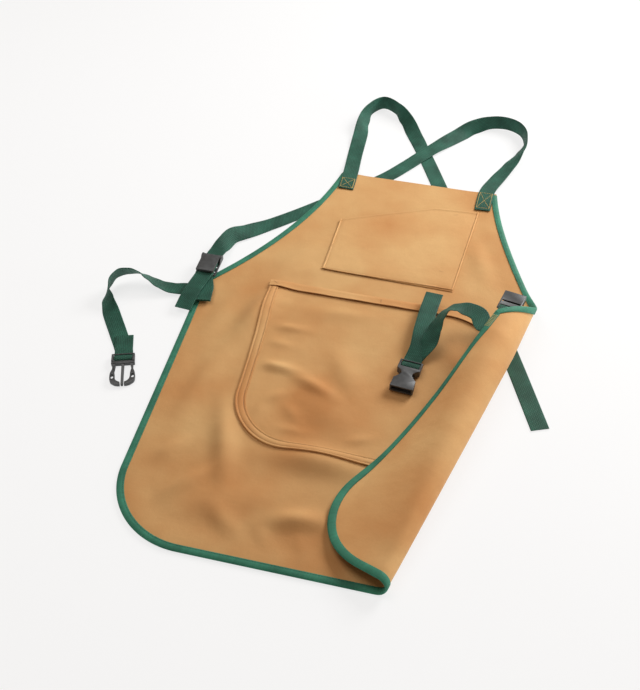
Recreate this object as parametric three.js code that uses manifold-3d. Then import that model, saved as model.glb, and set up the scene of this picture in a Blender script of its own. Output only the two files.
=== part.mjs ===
// A canvas work apron lying on its back, one side curled over its front.
// Millimetres, +Z up. The bib points along +Y, the hem along -Y.
// The pattern's own origin is the middle of the bib's top edge, on the floor.

import * as THREE from 'three';
import { mergeVertices } from 'three/addons/utils/BufferGeometryUtils.js';
import { ConvexHull } from 'three/addons/math/ConvexHull.js';
import Module from 'manifold-3d';

// Cloth thicknesses and the clearances between pieces
const CANVAS = 1.4;
const TAPE = 0.7;
const WEB = 1.5;
const WEB_WIDTH = 26;
const SEAM_GAP = 0.6;
const POCKET_GAP = 1;
const CURL_GAP = 1.1;
const TAPE_GAP = 0.75;
const WEB_GAP = 0.4;
const PLY = WEB + 0.45;
const OVER_BINDING = CANVAS + SEAM_GAP + TAPE + WEB_GAP + WEB / 2;

// The apron's cut: one half, mirrored about x = 0
const BIB_HALF = 132.5;
const ARMHOLE_PULL = new THREE.Vector2(160, -172);
const HIP = new THREE.Vector2(280, -322);
const HEM_HALF = 270;
const HEM_Y = -793;
const HEM_CORNER = 111;
const BINDING_WIDTH = 10;
const EDGE_INSET = 12;
const TOP_INSET = 3;
const HIP_GAP = 2.6;
const BOUND_FROM = 0.012;

// Stations along the cut edge: few where the cloth lies open, more where it rolls over
const LEFT_STEPS = { armhole: 12, side: 11, corner: 7 };
const RIGHT_STEPS = { armhole: 26, side: 20, corner: 12 };
const HEM_SPANS = [{ to: 60, steps: 7 }, { to: 138, steps: 16 }, { to: 159, steps: 2 }];
const TOP_STEPS = 8;
const PANEL_FILL = { spacing: 52, clearance: 22 };
const BIB_POCKET_FILL = { spacing: 40, clearance: 18, edge: 30, inset: 8 };
const SKIRT_POCKET_FILL = { spacing: 48, clearance: 27 };

// How the cloth lies: the bib rides on the straps beneath it, its bound edges on their binding
const STRAP_LIFT = { rise: 2.1, slant: 0.55, from: -420, to: -330 };
const RIM_RISE = { rise: SEAM_GAP + TAPE, flat: EDGE_INSET + 4, end: 44 };
const RIPPLE_REACH = { from: 10, to: 60 };

// The curled side is dragged down and out, most at the hip
const SKEW = { across: 13, down: 54 };
const SKEW_OUT = { from: 100, to: 230 };
const SKEW_HEM = { from: -700, to: -330 };
const SKEW_BIB = { from: 60, to: 300 };

// The curl: a roll along a slanted line, wide at the hip and tight at the hem
const FOLD_TURN = -0.2;
const FOLD_OFFSET = 244;
const FLAP_REST = 8.5;
const ROLL_FROM = -850;
const ROLL_LENGTH = 500;
const ROLL_RADIUS = { hem: 6.2, middle: 20.5, hip: 34 };
const ROLL_DROOP = 0.86;
const ROLL_STRETCH = 1.6;
const ROLL_ROWS = { from: -820, to: -200, step: 30 };
const ROLL_TURNS = [0, 0.5, 1, 1.5, 2, 2.5, 3, 3.5];
const PAST_ROLL = [18, 45, 75];

// Soft ripples pressed up in the open cloth
const RIPPLES = [
  { x: -222, y: -378, long: 70, wide: 26, turn: 0.9, rise: 6 },
  { x: -212, y: -500, long: 80, wide: 26, turn: 1.45, rise: 4 },
  { x: -110, y: -705, long: 95, wide: 36, turn: 0.3, rise: 5 },
];

// Pockets, as corners of their cut
const BIB_POCKET = [
  { x: -107, y: -128 },
  { x: -109, y: -253 },
  { x: 97, y: -257 },
  { x: 111, y: -58 },
  { x: 39, y: -63 },
  { x: -70, y: -111 },
];
const POCKET_TOP = -300;
const POCKET_TOP_HALF = 175;
const POCKET_SIDE_HALF = 162;
const POCKET_BOTTOM = -612;
const POCKET_CORNER = 92;
const POCKET_TAPE_WIDTH = 13;
const POCKET_CLOTH = 1.1;

// Buckles: the place of each webbing bar, and how the buckle is turned
const CAM_LEFT = { x: -278, y: -311, z: 10, yaw: 0, pitch: 0, roll: 0 };
const CAM_RIGHT = { x: 183, y: -321.5, z: 47.5, yaw: -0.2, pitch: -0.06, roll: Math.PI };
const MALE = { x: -338, y: -506, z: 3.4, yaw: 0.33, pitch: 0, roll: 0 };
const FEMALE = { x: 64, y: -427, z: 11.4, yaw: -0.1, pitch: 0, roll: 0 };
const CAM = { half: 18, from: -3, to: 39, plate: 2, cheek: 3, pivotY: 32, pivotZ: 7.2, pin: 1.5 };
const LEVER = { half: 13.8, reach: 31, nose: 1.3, barrel: 3.2, low: 1.4, high: 4 };
const END = { rail: 13.6, half: 16.5, barHalf: 1.6, slot: 7, crossbar: 9.5 };
const ROUND_SIDES = 12;

// Straps as rows of a centre line; lean is the turn about its run, 0 lying flat and 90 on edge
const LEFT_SHOULDER = [
  { x: -117, y: -46, z: 8, lean: 0 },
  { x: -118, y: -20, z: 8, lean: 0 },
  { x: -119, y: 4, z: 7.2, lean: 0 },
  { x: -124, y: 59, z: 1.4, lean: 0 },
  { x: -127, y: 118, z: 4, lean: -14 },
  { x: -129, y: 160, z: 9.5, lean: -48 },
  { x: -122, y: 195, z: 13.2, lean: -84 },
  { x: -103, y: 217, z: 13.2, lean: -90 },
  { x: -79, y: 206, z: 13.2, lean: -86 },
  { x: -57, y: 181, z: 10, lean: -52 },
  { x: -29, y: 135, z: 2.8, lean: -10 },
  { x: -8, y: 95, z: 0.8, lean: 0 },
  { x: 40, y: -7, z: 0.8, lean: 0 },
  { x: 120, y: -190, z: 0.8, lean: 0 },
  { x: 202, y: -377, z: 0.8, lean: 0 },
  { x: 252, y: -495, z: 0.8, lean: 0 },
];
const RIGHT_SHOULDER = [
  { x: 115, y: -50, z: 8, lean: 0 },
  { x: 115, y: -22, z: 8, lean: 0 },
  { x: 117, y: 5, z: 7.2, lean: 0 },
  { x: 128, y: 43, z: 3.2, lean: 6 },
  { x: 145, y: 87, z: 5.2, lean: 20 },
  { x: 159, y: 126, z: 10, lean: 52 },
  { x: 164, y: 159, z: 13.2, lean: 84 },
  { x: 152, y: 189, z: 13.2, lean: 90 },
  { x: 128, y: 202, z: 13.2, lean: 90 },
  { x: 100, y: 199, z: 13.2, lean: 86 },
  { x: 72, y: 182, z: 11, lean: 62 },
  { x: 40, y: 148, z: 6, lean: 22 },
  { x: 3, y: 99, z: 3.8, lean: 0 },
  { x: -30, y: 48, z: 1.9, lean: 0 },
  { x: -58, y: 8, z: 0.8, lean: 0 },
  { x: -120, y: -62, z: 0.8, lean: 0 },
  { x: -173, y: -119, z: 0.8, lean: 0 },
  { x: -212, y: -160, z: 2, lean: 4 },
  { x: -245, y: -194, z: 6, lean: 20 },
  { x: -264, y: -216, z: 11, lean: 40 },
  { x: -270, y: -238, z: 12.4, lean: 30 },
  { x: -275, y: -258, z: 12.4, lean: 2 },
];
const RIGHT_SHOULDER_TAIL = [
  { x: -279, y: -322, z: 15, lean: 0 },
  { x: -282, y: -342, z: 14.8, lean: 0 },
  { x: -285, y: -364, z: 13.8, lean: 0 },
  { x: -286, y: -388, z: 9.6, lean: 0 },
];
const LEFT_WAIST = [
  { x: -272, y: -347, z: 7.3, lean: 0 },
  { x: -284, y: -347, z: 7.2, lean: 0 },
  { x: -300, y: -347, z: 4.6, lean: 0 },
  { x: -320, y: -350, z: 4.6, lean: -6 },
  { x: -340, y: -350, z: 9, lean: -20 },
  { x: -357, y: -348, z: 16, lean: -36 },
  { x: -371, y: -346, z: 21, lean: -50 },
  { x: -387, y: -349, z: 24, lean: -62 },
  { x: -402, y: -358, z: 24, lean: -70 },
  { x: -408, y: -373, z: 20, lean: -80 },
  { x: -408, y: -388, z: 14.6, lean: -72 },
  { x: -402, y: -404, z: 9.4, lean: -42 },
  { x: -386, y: -428, z: 3, lean: -10 },
  { x: -365, y: -458, z: 1.2, lean: 0 },
];
const RIGHT_WAIST = [
  { x: 144, y: -352, z: 57, lean: 2 },
  { x: 127, y: -344, z: 56, lean: -8 },
  { x: 111, y: -342, z: 54, lean: -28 },
  { x: 101, y: -347, z: 50, lean: -46 },
  { x: 95, y: -357, z: 43, lean: -50 },
  { x: 93, y: -372, z: 33, lean: -32 },
  { x: 88, y: -393, z: 22, lean: -10 },
];
const RIGHT_WAIST_TAIL = [
  { x: 69, y: -398, z: 17, lean: 0 },
  { x: 69, y: -370, z: 23, lean: 0 },
  { x: 70, y: -332, z: 24, lean: 0 },
  { x: 73, y: -285, z: 21, lean: 0 },
];
const LEFT_TAB = [{ x: -263, y: -361 }, { x: -268, y: -344 }];
const RIGHT_TAB = [{ x: 253, y: -360 }, { x: 256, y: -342 }];
const RIGHT_WAIST_START = [{ x: 262, y: -350 }, { x: 276, y: -350 }, { x: 288, y: -350 }];
const STRAP_SAG = 1;
const TAB_SAG = 5.2;

// Webbing round a buckle's bar, in the buckle's own frame
const BAR_TURN = [
  { y: 16, z: -2.5 },
  { y: 4, z: -2.5 },
  { y: -1.2, z: -2.5 },
  { y: -3.9, z: -1.5 },
  { y: -4.7, z: 0.2 },
  { y: -3.6, z: 1.9 },
  { y: -0.8, z: 2.5 },
  { y: 1.8, z: 2.4 },
  { y: 4.6, z: 1.1 },
  { y: 7, z: 0.1 },
  { y: 12, z: -0.3 },
];
const TAB_TURN = [
  { y: -8, z: -2.2 },
  { y: -0.4, z: -2.2 },
  { y: 2.3, z: -1.9 },
  { y: 3.9, z: 0 },
  { y: 2.3, z: 1.9 },
  { y: -0.4, z: 2.2 },
  { y: -8, z: 2.2 },
];
const THROUGH_CAM = [
  { y: 36, z: 2.2 },
  { y: 22, z: 2.2 },
  { y: 9, z: 3.6 },
  { y: 0, z: 4.5 },
];
const MALE_TAIL = [
  { y: 26, z: -0.3 },
  { y: 46, z: -0.3 },
];
const RIBBON_STEP = 13;
const RIBBON_TURN = 0.32;

const wasm = await Module();
wasm.setup();

const TAN = 0xc98f52;
const TAN_POCKET = 0xcb9457;
const GREEN = 0x1f6b4e;
const GREEN_BINDING = 0x2f8a68;
const BLACK = 0x35353a;
const LOOKS = {
  canvas: new THREE.MeshStandardMaterial({ color: TAN, roughness: 0.85, metalness: 0 }),
  pocket: new THREE.MeshStandardMaterial({ color: TAN_POCKET, roughness: 0.85, metalness: 0 }),
  binding: new THREE.MeshStandardMaterial({ color: GREEN_BINDING, roughness: 0.7, metalness: 0 }),
  webbing: new THREE.MeshStandardMaterial({ color: GREEN, roughness: 0.65, metalness: 0 }),
  plastic: new THREE.MeshStandardMaterial({ color: BLACK, roughness: 0.4, metalness: 0 }),
};

const { smoothstep, clamp } = THREE.MathUtils;
const FOLD_OUT = new THREE.Vector2(Math.cos(FOLD_TURN), Math.sin(FOLD_TURN));
const FOLD_ALONG = new THREE.Vector2(-FOLD_OUT.y, FOLD_OUT.x);
const ARMHOLE = new THREE.QuadraticBezierCurve(new THREE.Vector2(BIB_HALF, 0), ARMHOLE_PULL, HIP);

// Half the cut's width at a height on the pattern
function halfWidth(y) {
  if (y > HIP.y) {
    const a = HIP.y - 2 * ARMHOLE_PULL.y;
    const b = 2 * ARMHOLE_PULL.y;
    const t = (-b - Math.sqrt(b * b + 4 * a * Math.min(y, 0))) / (2 * a);
    return ARMHOLE.getPoint(t).x;
  }
  const cornerY = HEM_Y + HEM_CORNER;
  if (y > cornerY) {
    return HIP.x + (HEM_HALF - HIP.x) * (y - HIP.y) / (cornerY - HIP.y);
  }
  const drop = Math.min(cornerY - y, HEM_CORNER);
  return HEM_HALF - HEM_CORNER + Math.sqrt(HEM_CORNER ** 2 - drop ** 2);
}

// How far a point on the pattern lies inside the bound edge
function rimDistance(x, y) {
  const aside = Math.abs(x) - (HEM_HALF - HEM_CORNER);
  const below = HEM_Y + HEM_CORNER - y;
  if (aside > 0 && below > 0) {
    return HEM_CORNER - Math.hypot(aside, below);
  }
  return Math.min(halfWidth(y) - Math.abs(x), y - HEM_Y);
}

// The curled side is dragged down and out in its own plane
function skewed(x, y) {
  const amount = smoothstep(x, SKEW_OUT.from, SKEW_OUT.to)
    * smoothstep(y, SKEW_HEM.from, SKEW_HEM.to)
    * smoothstep(-y, SKEW_BIB.from, SKEW_BIB.to);
  return new THREE.Vector2(x + SKEW.across * amount, y - SKEW.down * amount);
}

function unskewed(point) {
  const guess = point.clone();
  for (let turn = 0; turn < 12; turn += 1) {
    guess.add(point.clone().sub(skewed(guess.x, guess.y)));
  }
  return guess;
}

// The roll's radius and how far it turns past level, along the fold
function rollAt(along) {
  const w = clamp((along - ROLL_FROM) / ROLL_LENGTH, 0, 1);
  const { hem, middle, hip } = ROLL_RADIUS;
  const radius = hem * (1 - w) * (1 - 2 * w) + 4 * middle * w * (1 - w) + hip * w * (2 * w - 1);
  return { radius, droop: ROLL_DROOP * w };
}

// How high the back of the open cloth lies above the floor
function bedHeight(x, y) {
  const slanted = y + STRAP_LIFT.slant * Math.max(x, 0);
  const onStraps = STRAP_LIFT.rise * smoothstep(slanted, STRAP_LIFT.from, STRAP_LIFT.to);
  const rim = rimDistance(x, y);
  const onBinding = RIM_RISE.rise * (1 - smoothstep(rim, RIM_RISE.flat, RIM_RISE.end));
  const free = smoothstep(rim, RIPPLE_REACH.from, RIPPLE_REACH.to);
  let ripple = 0;
  for (const row of RIPPLES) {
    const c = Math.cos(row.turn);
    const s = Math.sin(row.turn);
    const u = ((x - row.x) * c + (y - row.y) * s) / row.long;
    const v = ((y - row.y) * c - (x - row.x) * s) / row.wide;
    ripple += row.rise * Math.exp(-2 * (u * u + v * v)) * free;
  }
  return onStraps + onBinding + ripple;
}

// The place of a pattern point, a height above the back of the cloth
function drape(px, py, height) {
  const flat = skewed(px, py);
  const beyond = flat.dot(FOLD_OUT) - FOLD_OFFSET;
  const { radius, droop } = rollAt(flat.dot(FOLD_ALONG));
  const foot = flat.clone().addScaledVector(FOLD_OUT, -Math.max(beyond, 0));
  const footOnCut = beyond > 0 ? unskewed(foot) : new THREE.Vector2(px, py);
  const bed = bedHeight(footOnCut.x, footOnCut.y);
  const turn = clamp(beyond / radius, 0, Math.PI + droop);
  const rest = Math.max(beyond - radius * (Math.PI + droop), 0);
  const top = radius * (1 - Math.cos(turn));
  const slope = Math.max(Math.sin(droop), 1e-6);
  const sloping = Math.min(rest, Math.max((top - FLAP_REST) / slope, 0));
  const lying = rest - sloping;
  const out = radius * Math.sin(turn) - sloping * Math.cos(droop) - lying;
  const up = top - sloping * Math.sin(droop);
  const facing = lying > 0 ? Math.PI : turn;
  const shift = out - Math.sin(facing) * height;
  const place = foot.addScaledVector(FOLD_OUT, shift);
  return new THREE.Vector3(place.x, place.y, bed + up + Math.cos(facing) * height);
}

// A closed body from vertices and triangles, its faces turned outwards
function closedBody(vertices, triangles) {
  let volume = 0;
  for (const [a, b, c] of triangles) {
    volume += vertices[a].dot(vertices[b].clone().cross(vertices[c]));
  }
  const order = volume < 0 ? triangles.map(([a, b, c]) => [a, c, b]) : triangles;
  const numbers = vertices.flatMap((v) => v.toArray());
  const geometry = new THREE.BufferGeometry();
  geometry.setAttribute('position', new THREE.Float32BufferAttribute(numbers, 3));
  geometry.setIndex(order.flat());
  return geometry;
}

// A section carried along: each ring has the same points, outline gives the section's flat shape
function sweep(rings, outline) {
  const count = outline.length;
  const vertices = rings.flat();
  const triangles = [];
  for (let ring = 0; ring < rings.length - 1; ring += 1) {
    for (let k = 0; k < count; k += 1) {
      const a = ring * count + k;
      const b = ring * count + (k + 1) % count;
      const inwards = outline[(k + 1) % count].x > outline[k].x;
      if (inwards) {
        triangles.push([a, b, a + count], [b, b + count, a + count]);
      } else {
        triangles.push([a, b, b + count], [a, b + count, a + count]);
      }
    }
  }
  const last = (rings.length - 1) * count;
  for (const [a, b, c] of THREE.ShapeUtils.triangulateShape(outline, [])) {
    triangles.push([a, c, b], [last + a, last + b, last + c]);
  }
  return closedBody(vertices, triangles);
}

// Triangles between scattered points: the underside of their hull on a bowl
function triangulate(points) {
  const lifted = points.map((point, index) => {
    const x = point.x + 0.03 * Math.sin(12.99 * index);
    const y = point.y + 0.03 * Math.sin(78.23 * index);
    return Object.assign(new THREE.Vector3(x, y, (x * x + y * y) * 1e-3), { index });
  });
  const triangles = [];
  for (const face of new ConvexHull().setFromPoints(lifted).faces) {
    if (face.normal.z < 0) {
      const edges = [face.edge, face.edge.next, face.edge.next.next];
      const [a, b, c] = edges.map((edge) => edge.head().point.index);
      triangles.push([a, c, b]);
    }
  }
  return triangles;
}

function distanceToEdge(edge, point) {
  const level = ({ x, y }) => new THREE.Vector3(x, y, 0);
  const nearest = new THREE.Vector3();
  const at = level(point);
  let best = Infinity;
  edge.forEach((station, i) => {
    const line = new THREE.Line3(level(station), level(edge[(i + 1) % edge.length]));
    line.closestPointToPoint(at, true, nearest);
    best = Math.min(best, nearest.distanceTo(at));
  });
  return best;
}

function isInside(edge, point) {
  let inside = false;
  edge.forEach((a, i) => {
    const b = edge[(i + 1) % edge.length];
    const crosses = (a.y > point.y) !== (b.y > point.y);
    if (crosses && point.x < a.x + (b.x - a.x) * (point.y - a.y) / (b.y - a.y)) {
      inside = !inside;
    }
  });
  return inside;
}

// The pattern points an inset inwards of an edge, one for each station
function insetEdge(edge, insetOf) {
  return edge.map((station, i) => {
    const before = edge[(i + edge.length - 1) % edge.length];
    const after = edge[(i + 1) % edge.length];
    const n1 = new THREE.Vector2(before.y - station.y, station.x - before.x).normalize();
    const n2 = new THREE.Vector2(station.y - after.y, after.x - station.x).normalize();
    const d1 = insetOf(before, station);
    const d2 = insetOf(station, after);
    const cross = n1.cross(n2);
    if (Math.abs(cross) < 0.02) {
      return n1.multiplyScalar(d1).add(station);
    }
    const inward = new THREE.Vector2(d1 * n2.y - d2 * n1.y, d2 * n1.x - d1 * n2.x);
    return inward.divideScalar(cross).add(station);
  });
}

// Points that fill a cut: an even scatter where it lies open, rows along the roll where it curls
function fillPoints(edge, { spacing, clearance }) {
  const points = [];
  const keep = (point) => {
    if (isInside(edge, point) && distanceToEdge(edge, point) > clearance) {
      points.push(point);
    }
  };
  const box = new THREE.Box2().setFromPoints(edge);
  let odd = 0;
  for (let y = box.max.y - spacing / 2; y > box.min.y; y -= spacing * 0.86) {
    odd = 1 - odd;
    for (let x = box.min.x + odd * spacing / 2; x < box.max.x; x += spacing) {
      if (skewed(x, y).dot(FOLD_OUT) < FOLD_OFFSET - spacing / 3) {
        keep(new THREE.Vector2(x, y));
      }
    }
  }
  for (let along = ROLL_ROWS.from; along < ROLL_ROWS.to; along += ROLL_ROWS.step) {
    const { radius, droop } = rollAt(along);
    const full = Math.PI + droop;
    const rolled = ROLL_TURNS.filter((turn) => turn < full - 0.2).map((turn) => turn * radius);
    const past = PAST_ROLL.map((distance) => full * radius + distance);
    for (const distance of [...rolled, full * radius, ...past]) {
      const flat = FOLD_OUT.clone().multiplyScalar(FOLD_OFFSET + distance);
      keep(unskewed(flat.addScaledVector(FOLD_ALONG, along)));
    }
  }
  return points;
}

// A pattern point in the plane of the fold, stretched across it so triangles run along the roll
function acrossFold(point) {
  const flat = skewed(point.x, point.y);
  return new THREE.Vector2(flat.dot(FOLD_OUT) * ROLL_STRETCH, flat.dot(FOLD_ALONG));
}

// True of a triangle with all its corners on the edge that still lies within the cut
function isCorner(edge, [a, b, c]) {
  const area = Math.abs((b.x - a.x) * (c.y - a.y) - (c.x - a.x) * (b.y - a.y)) / 2;
  const longest = Math.max(a.distanceTo(b), b.distanceTo(c), c.distanceTo(a));
  const middle = { x: (a.x + b.x + c.x) / 3, y: (a.y + b.y + c.y) / 3 };
  return area > 0.003 * longest ** 2 && isInside(edge, middle);
}

// A cloth piece between two heights above the panel's back: a band along its edge, then its middle
function clothBody(edge, inner, points, low, thick) {
  const stations = edge.length;
  const all = [...edge, ...inner, ...points];
  const vertices = [
    ...all.map((p) => drape(p.x, p.y, low(p))),
    ...all.map((p) => drape(p.x, p.y, low(p) + thick)),
  ];
  const upper = all.length;
  const triangles = [];
  const bothFaces = (a, b, c) => triangles.push([a, c, b], [upper + a, upper + b, upper + c]);
  for (let i = 0; i < stations; i += 1) {
    const j = (i + 1) % stations;
    triangles.push([i, j, upper + j], [i, upper + j, upper + i]);
    bothFaces(i, j, stations + i);
    bothFaces(j, stations + j, stations + i);
  }
  const middle = all.slice(stations).map(acrossFold);
  const middleEdge = middle.slice(0, stations);
  for (const [a, b, c] of triangulate(middle)) {
    if (Math.max(a, b, c) >= stations || isCorner(middleEdge, [middle[a], middle[b], middle[c]])) {
      bothFaces(stations + a, stations + b, stations + c);
    }
  }
  return closedBody(vertices, triangles);
}

// A strip along a run of edge stations: section points are distances inwards and heights
function edgeStrip(edge, inner, section) {
  const rings = edge.map((station, i) => {
    const outerAt = (height) => drape(station.x, station.y, height);
    const innerAt = (height) => drape(inner[i].x, inner[i].y, height);
    const reach = inner[i].distanceTo(new THREE.Vector2(station.x, station.y));
    return section.map(({ x, y }) => outerAt(y).lerp(innerAt(y), x / reach));
  });
  return sweep(rings, section);
}

// The right half of the cut edge, from the bib's corner down to the hem
function halfEdge(steps) {
  const stations = [];
  const armholeEnd = 1 - HIP_GAP / (2 * HIP.distanceTo(ARMHOLE_PULL));
  for (let i = 0; i <= steps.armhole; i += 1) {
    const t = BOUND_FROM + (armholeEnd - BOUND_FROM) * i / steps.armhole;
    stations.push({ ...ARMHOLE.getPoint(t), edge: 'armhole' });
  }
  const cornerY = HEM_Y + HEM_CORNER;
  for (let i = 0; i < steps.side; i += 1) {
    const y = HIP.y - HIP_GAP + (cornerY - HIP.y + HIP_GAP) * i / steps.side;
    stations.push({ x: halfWidth(y), y, edge: 'skirt' });
  }
  for (let i = 0; i < steps.corner; i += 1) {
    const turn = (Math.PI / 2) * i / steps.corner;
    const x = HEM_HALF - HEM_CORNER + HEM_CORNER * Math.cos(turn);
    stations.push({ x, y: cornerY - HEM_CORNER * Math.sin(turn), edge: 'skirt' });
  }
  return stations;
}

// The whole cut edge, anticlockwise from the bib's left corner
function cutEdge() {
  const left = halfEdge(LEFT_STEPS).map((station) => ({ ...station, x: -station.x, side: 'left' }));
  const right = halfEdge(RIGHT_STEPS).reverse().map((station) => ({ ...station, side: 'right' }));
  const hem = [];
  let from = HEM_CORNER - HEM_HALF;
  for (const span of HEM_SPANS) {
    for (let i = 0; i < span.steps; i += 1) {
      hem.push({ x: from + (span.to - from) * i / span.steps, y: HEM_Y, edge: 'skirt' });
    }
    from = span.to;
  }
  hem.push({ x: from, y: HEM_Y, edge: 'skirt' });
  const top = [];
  for (let i = 0; i <= TOP_STEPS; i += 1) {
    top.push({ x: BIB_HALF - 2 * BIB_HALF * i / TOP_STEPS, y: 0, edge: 'top' });
  }
  return [...left, ...hem, ...right, ...top];
}

const CUT = cutEdge();
const CUT_INSET = insetEdge(CUT, (a, b) => {
  const plain = a.edge === 'top' && b.edge === 'top';
  return plain ? TOP_INSET : EDGE_INSET;
});

function canvasPanel() {
  return clothBody(CUT, CUT_INSET, fillPoints(CUT, PANEL_FILL), () => 0, CANVAS);
}

// Bias tape folded round a bound edge
function binding(chosen) {
  const outer = CUT.filter(chosen);
  const inner = CUT_INSET.filter((_, i) => chosen(CUT[i]));
  const outside = -SEAM_GAP - TAPE;
  const over = CANVAS + SEAM_GAP;
  const section = [
    [BINDING_WIDTH, over + TAPE],
    [outside, over + TAPE],
    [outside, outside],
    [BINDING_WIDTH, outside],
    [BINDING_WIDTH, -SEAM_GAP],
    [-SEAM_GAP, -SEAM_GAP],
    [-SEAM_GAP, over],
    [BINDING_WIDTH, over],
  ].map(([inwards, height]) => new THREE.Vector2(inwards, height));
  return edgeStrip(outer, inner, section);
}

// True of the stations along one armhole
function onArmhole(sideName) {
  return ({ edge, side }) => edge === 'armhole' && side === sideName;
}

// How far a pocket stands off the panel: a little more where the panel begins to roll
function pocketSeat(point) {
  const beyond = skewed(point.x, point.y).dot(FOLD_OUT) - FOLD_OFFSET;
  return CANVAS + POCKET_GAP + CURL_GAP * smoothstep(beyond, -30, 0);
}

// A closed outline through corners, with stations no further apart than the spacing
function splitEdge(corners, spacing) {
  return corners.flatMap((corner, i) => {
    const next = corners[(i + 1) % corners.length];
    const steps = Math.max(1, Math.round(Math.hypot(next.x - corner.x, next.y - corner.y) / spacing));
    return Array.from({ length: steps }, (_, k) => {
      const t = k / steps;
      return { x: corner.x + (next.x - corner.x) * t, y: corner.y + (next.y - corner.y) * t };
    });
  });
}

function bibPocket() {
  const edge = splitEdge(BIB_POCKET, BIB_POCKET_FILL.edge);
  const inner = insetEdge(edge, () => BIB_POCKET_FILL.inset);
  return clothBody(edge, inner, fillPoints(edge, BIB_POCKET_FILL), pocketSeat, POCKET_CLOTH);
}

// The skirt pocket's edge below its top corners, from left to right
function pocketSides() {
  const cornerY = POCKET_BOTTOM + POCKET_CORNER;
  const turn = Array.from({ length: 9 }, (_, i) => {
    const angle = (Math.PI / 2) * i / 8;
    const x = POCKET_SIDE_HALF - POCKET_CORNER + POCKET_CORNER * Math.cos(angle);
    return { x, y: cornerY - POCKET_CORNER * Math.sin(angle) };
  });
  const half = [];
  for (let i = 0; i < 10; i += 1) {
    const t = i / 10;
    const x = POCKET_TOP_HALF + (POCKET_SIDE_HALF - POCKET_TOP_HALF) * t;
    half.push({ x, y: POCKET_TOP + (cornerY - POCKET_TOP) * t });
  }
  half.push(...turn);
  const left = half.map(({ x, y }) => ({ x: -x, y }));
  const bottom = [-0.6, -0.2, 0.2, 0.6].map((t) => ({ x: t * half.at(-1).x, y: POCKET_BOTTOM }));
  return [...left, ...bottom, ...half.reverse()];
}

const POCKET_SIDES = pocketSides();
const POCKET_TOP_EDGE = Array.from({ length: 9 }, (_, i) => ({
  x: POCKET_TOP_HALF * (1 - 2 * (i + 1) / 10),
  y: POCKET_TOP,
}));
const POCKET_EDGE = [...POCKET_SIDES, ...POCKET_TOP_EDGE];
const POCKET_INSET = insetEdge(POCKET_EDGE, () => POCKET_TAPE_WIDTH + 2);

function skirtPocket() {
  const points = fillPoints(POCKET_EDGE, SKIRT_POCKET_FILL);
  return clothBody(POCKET_EDGE, POCKET_INSET, points, pocketSeat, POCKET_CLOTH);
}

// The corners of a strip's section: across, then through
const STRIP = [
  new THREE.Vector2(0, 0),
  new THREE.Vector2(1, 0),
  new THREE.Vector2(1, 1),
  new THREE.Vector2(0, 1),
];

// Flat tape sewn on the pocket along its sides and bottom
function pocketTape() {
  const edge = POCKET_SIDES.slice(1, -1);
  const inner = POCKET_INSET.slice(1, POCKET_SIDES.length - 1);
  const low = (p) => pocketSeat(p) + POCKET_CLOTH + TAPE_GAP;
  const rings = edge.map((station, i) => {
    const outer = new THREE.Vector2(station.x, station.y);
    const width = POCKET_TAPE_WIDTH / inner[i].distanceTo(outer);
    return STRIP.map((corner) => {
      const rise = corner.y * TAPE;
      const edgePlace = drape(outer.x, outer.y, low(outer) + rise);
      const innerPlace = drape(inner[i].x, inner[i].y, low(inner[i]) + rise);
      return edgePlace.lerp(innerPlace, corner.x * width);
    });
  });
  return sweep(rings, STRIP);
}

// Webbing along rows of a centre line, leaning as the rows say
function ribbon(rows) {
  const curve = new THREE.CatmullRomCurve3(rows.map(({ x, y, z }) => new THREE.Vector3(x, y, z)));
  const spans = rows.length - 1;
  const rings = [];
  let side = null;
  const addRing = (span, share) => {
    const at = (span + share) / spans;
    const run = curve.getTangent(at);
    const level = new THREE.Vector3(run.y, -run.x, 0);
    if (level.length() < 0.25) {
      level.copy(side);
    }
    level.addScaledVector(run, -level.dot(run)).normalize();
    if (side && level.dot(side) < 0) {
      level.negate();
    }
    side = level;
    const above = level.clone().cross(run);
    const from = rows[span].lean;
    const to = rows[Math.min(span + 1, spans)].lean;
    const lean = THREE.MathUtils.degToRad(from + (to - from) * smoothstep(share, 0, 1));
    const across = level.clone().applyAxisAngle(run, -lean);
    const through = above.clone().applyAxisAngle(run, -lean);
    const centre = curve.getPoint(at);
    const ring = STRIP.map((corner) => centre.clone()
      .addScaledVector(across, (corner.x - 0.5) * WEB_WIDTH)
      .addScaledVector(through, (corner.y - 0.5) * WEB));
    const lowest = Math.min(...ring.map((corner) => corner.z));
    ring.forEach((corner) => corner.setZ(corner.z + Math.max(0, -lowest)));
    rings.push(ring);
  };
  for (let span = 0; span < spans; span += 1) {
    const a = rows[span];
    const b = rows[span + 1];
    const long = Math.hypot(b.x - a.x, b.y - a.y, b.z - a.z) / RIBBON_STEP;
    const before = curve.getTangent(span / spans);
    const bend = before.angleTo(curve.getTangent((span + 1) / spans)) / RIBBON_TURN;
    const twist = THREE.MathUtils.degToRad(Math.abs(b.lean - a.lean)) / RIBBON_TURN;
    const most = Math.max(1, Math.ceil(long));
    const straight = bend < 0.1 && twist < 0.1;
    const steps = straight ? 1 : clamp(Math.ceil(Math.max(bend, twist)), 1, most);
    for (let i = 0; i < steps; i += 1) {
      addRing(span, i / steps);
    }
  }
  addRing(spans - 1, 1);
  return sweep(rings, STRIP);
}

// Places given in a buckle's own frame, as strap rows
function rowsAt(group, places) {
  group.updateMatrixWorld(true);
  return places.map(({ y, z }) => {
    const place = group.localToWorld(new THREE.Vector3(0, y, z));
    return { x: place.x, y: place.y, z: place.z, lean: 0 };
  });
}

function placed(place) {
  const group = new THREE.Group();
  group.position.set(place.x, place.y, place.z);
  group.rotation.set(place.pitch, place.roll, place.yaw, 'ZXY');
  return group;
}

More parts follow.
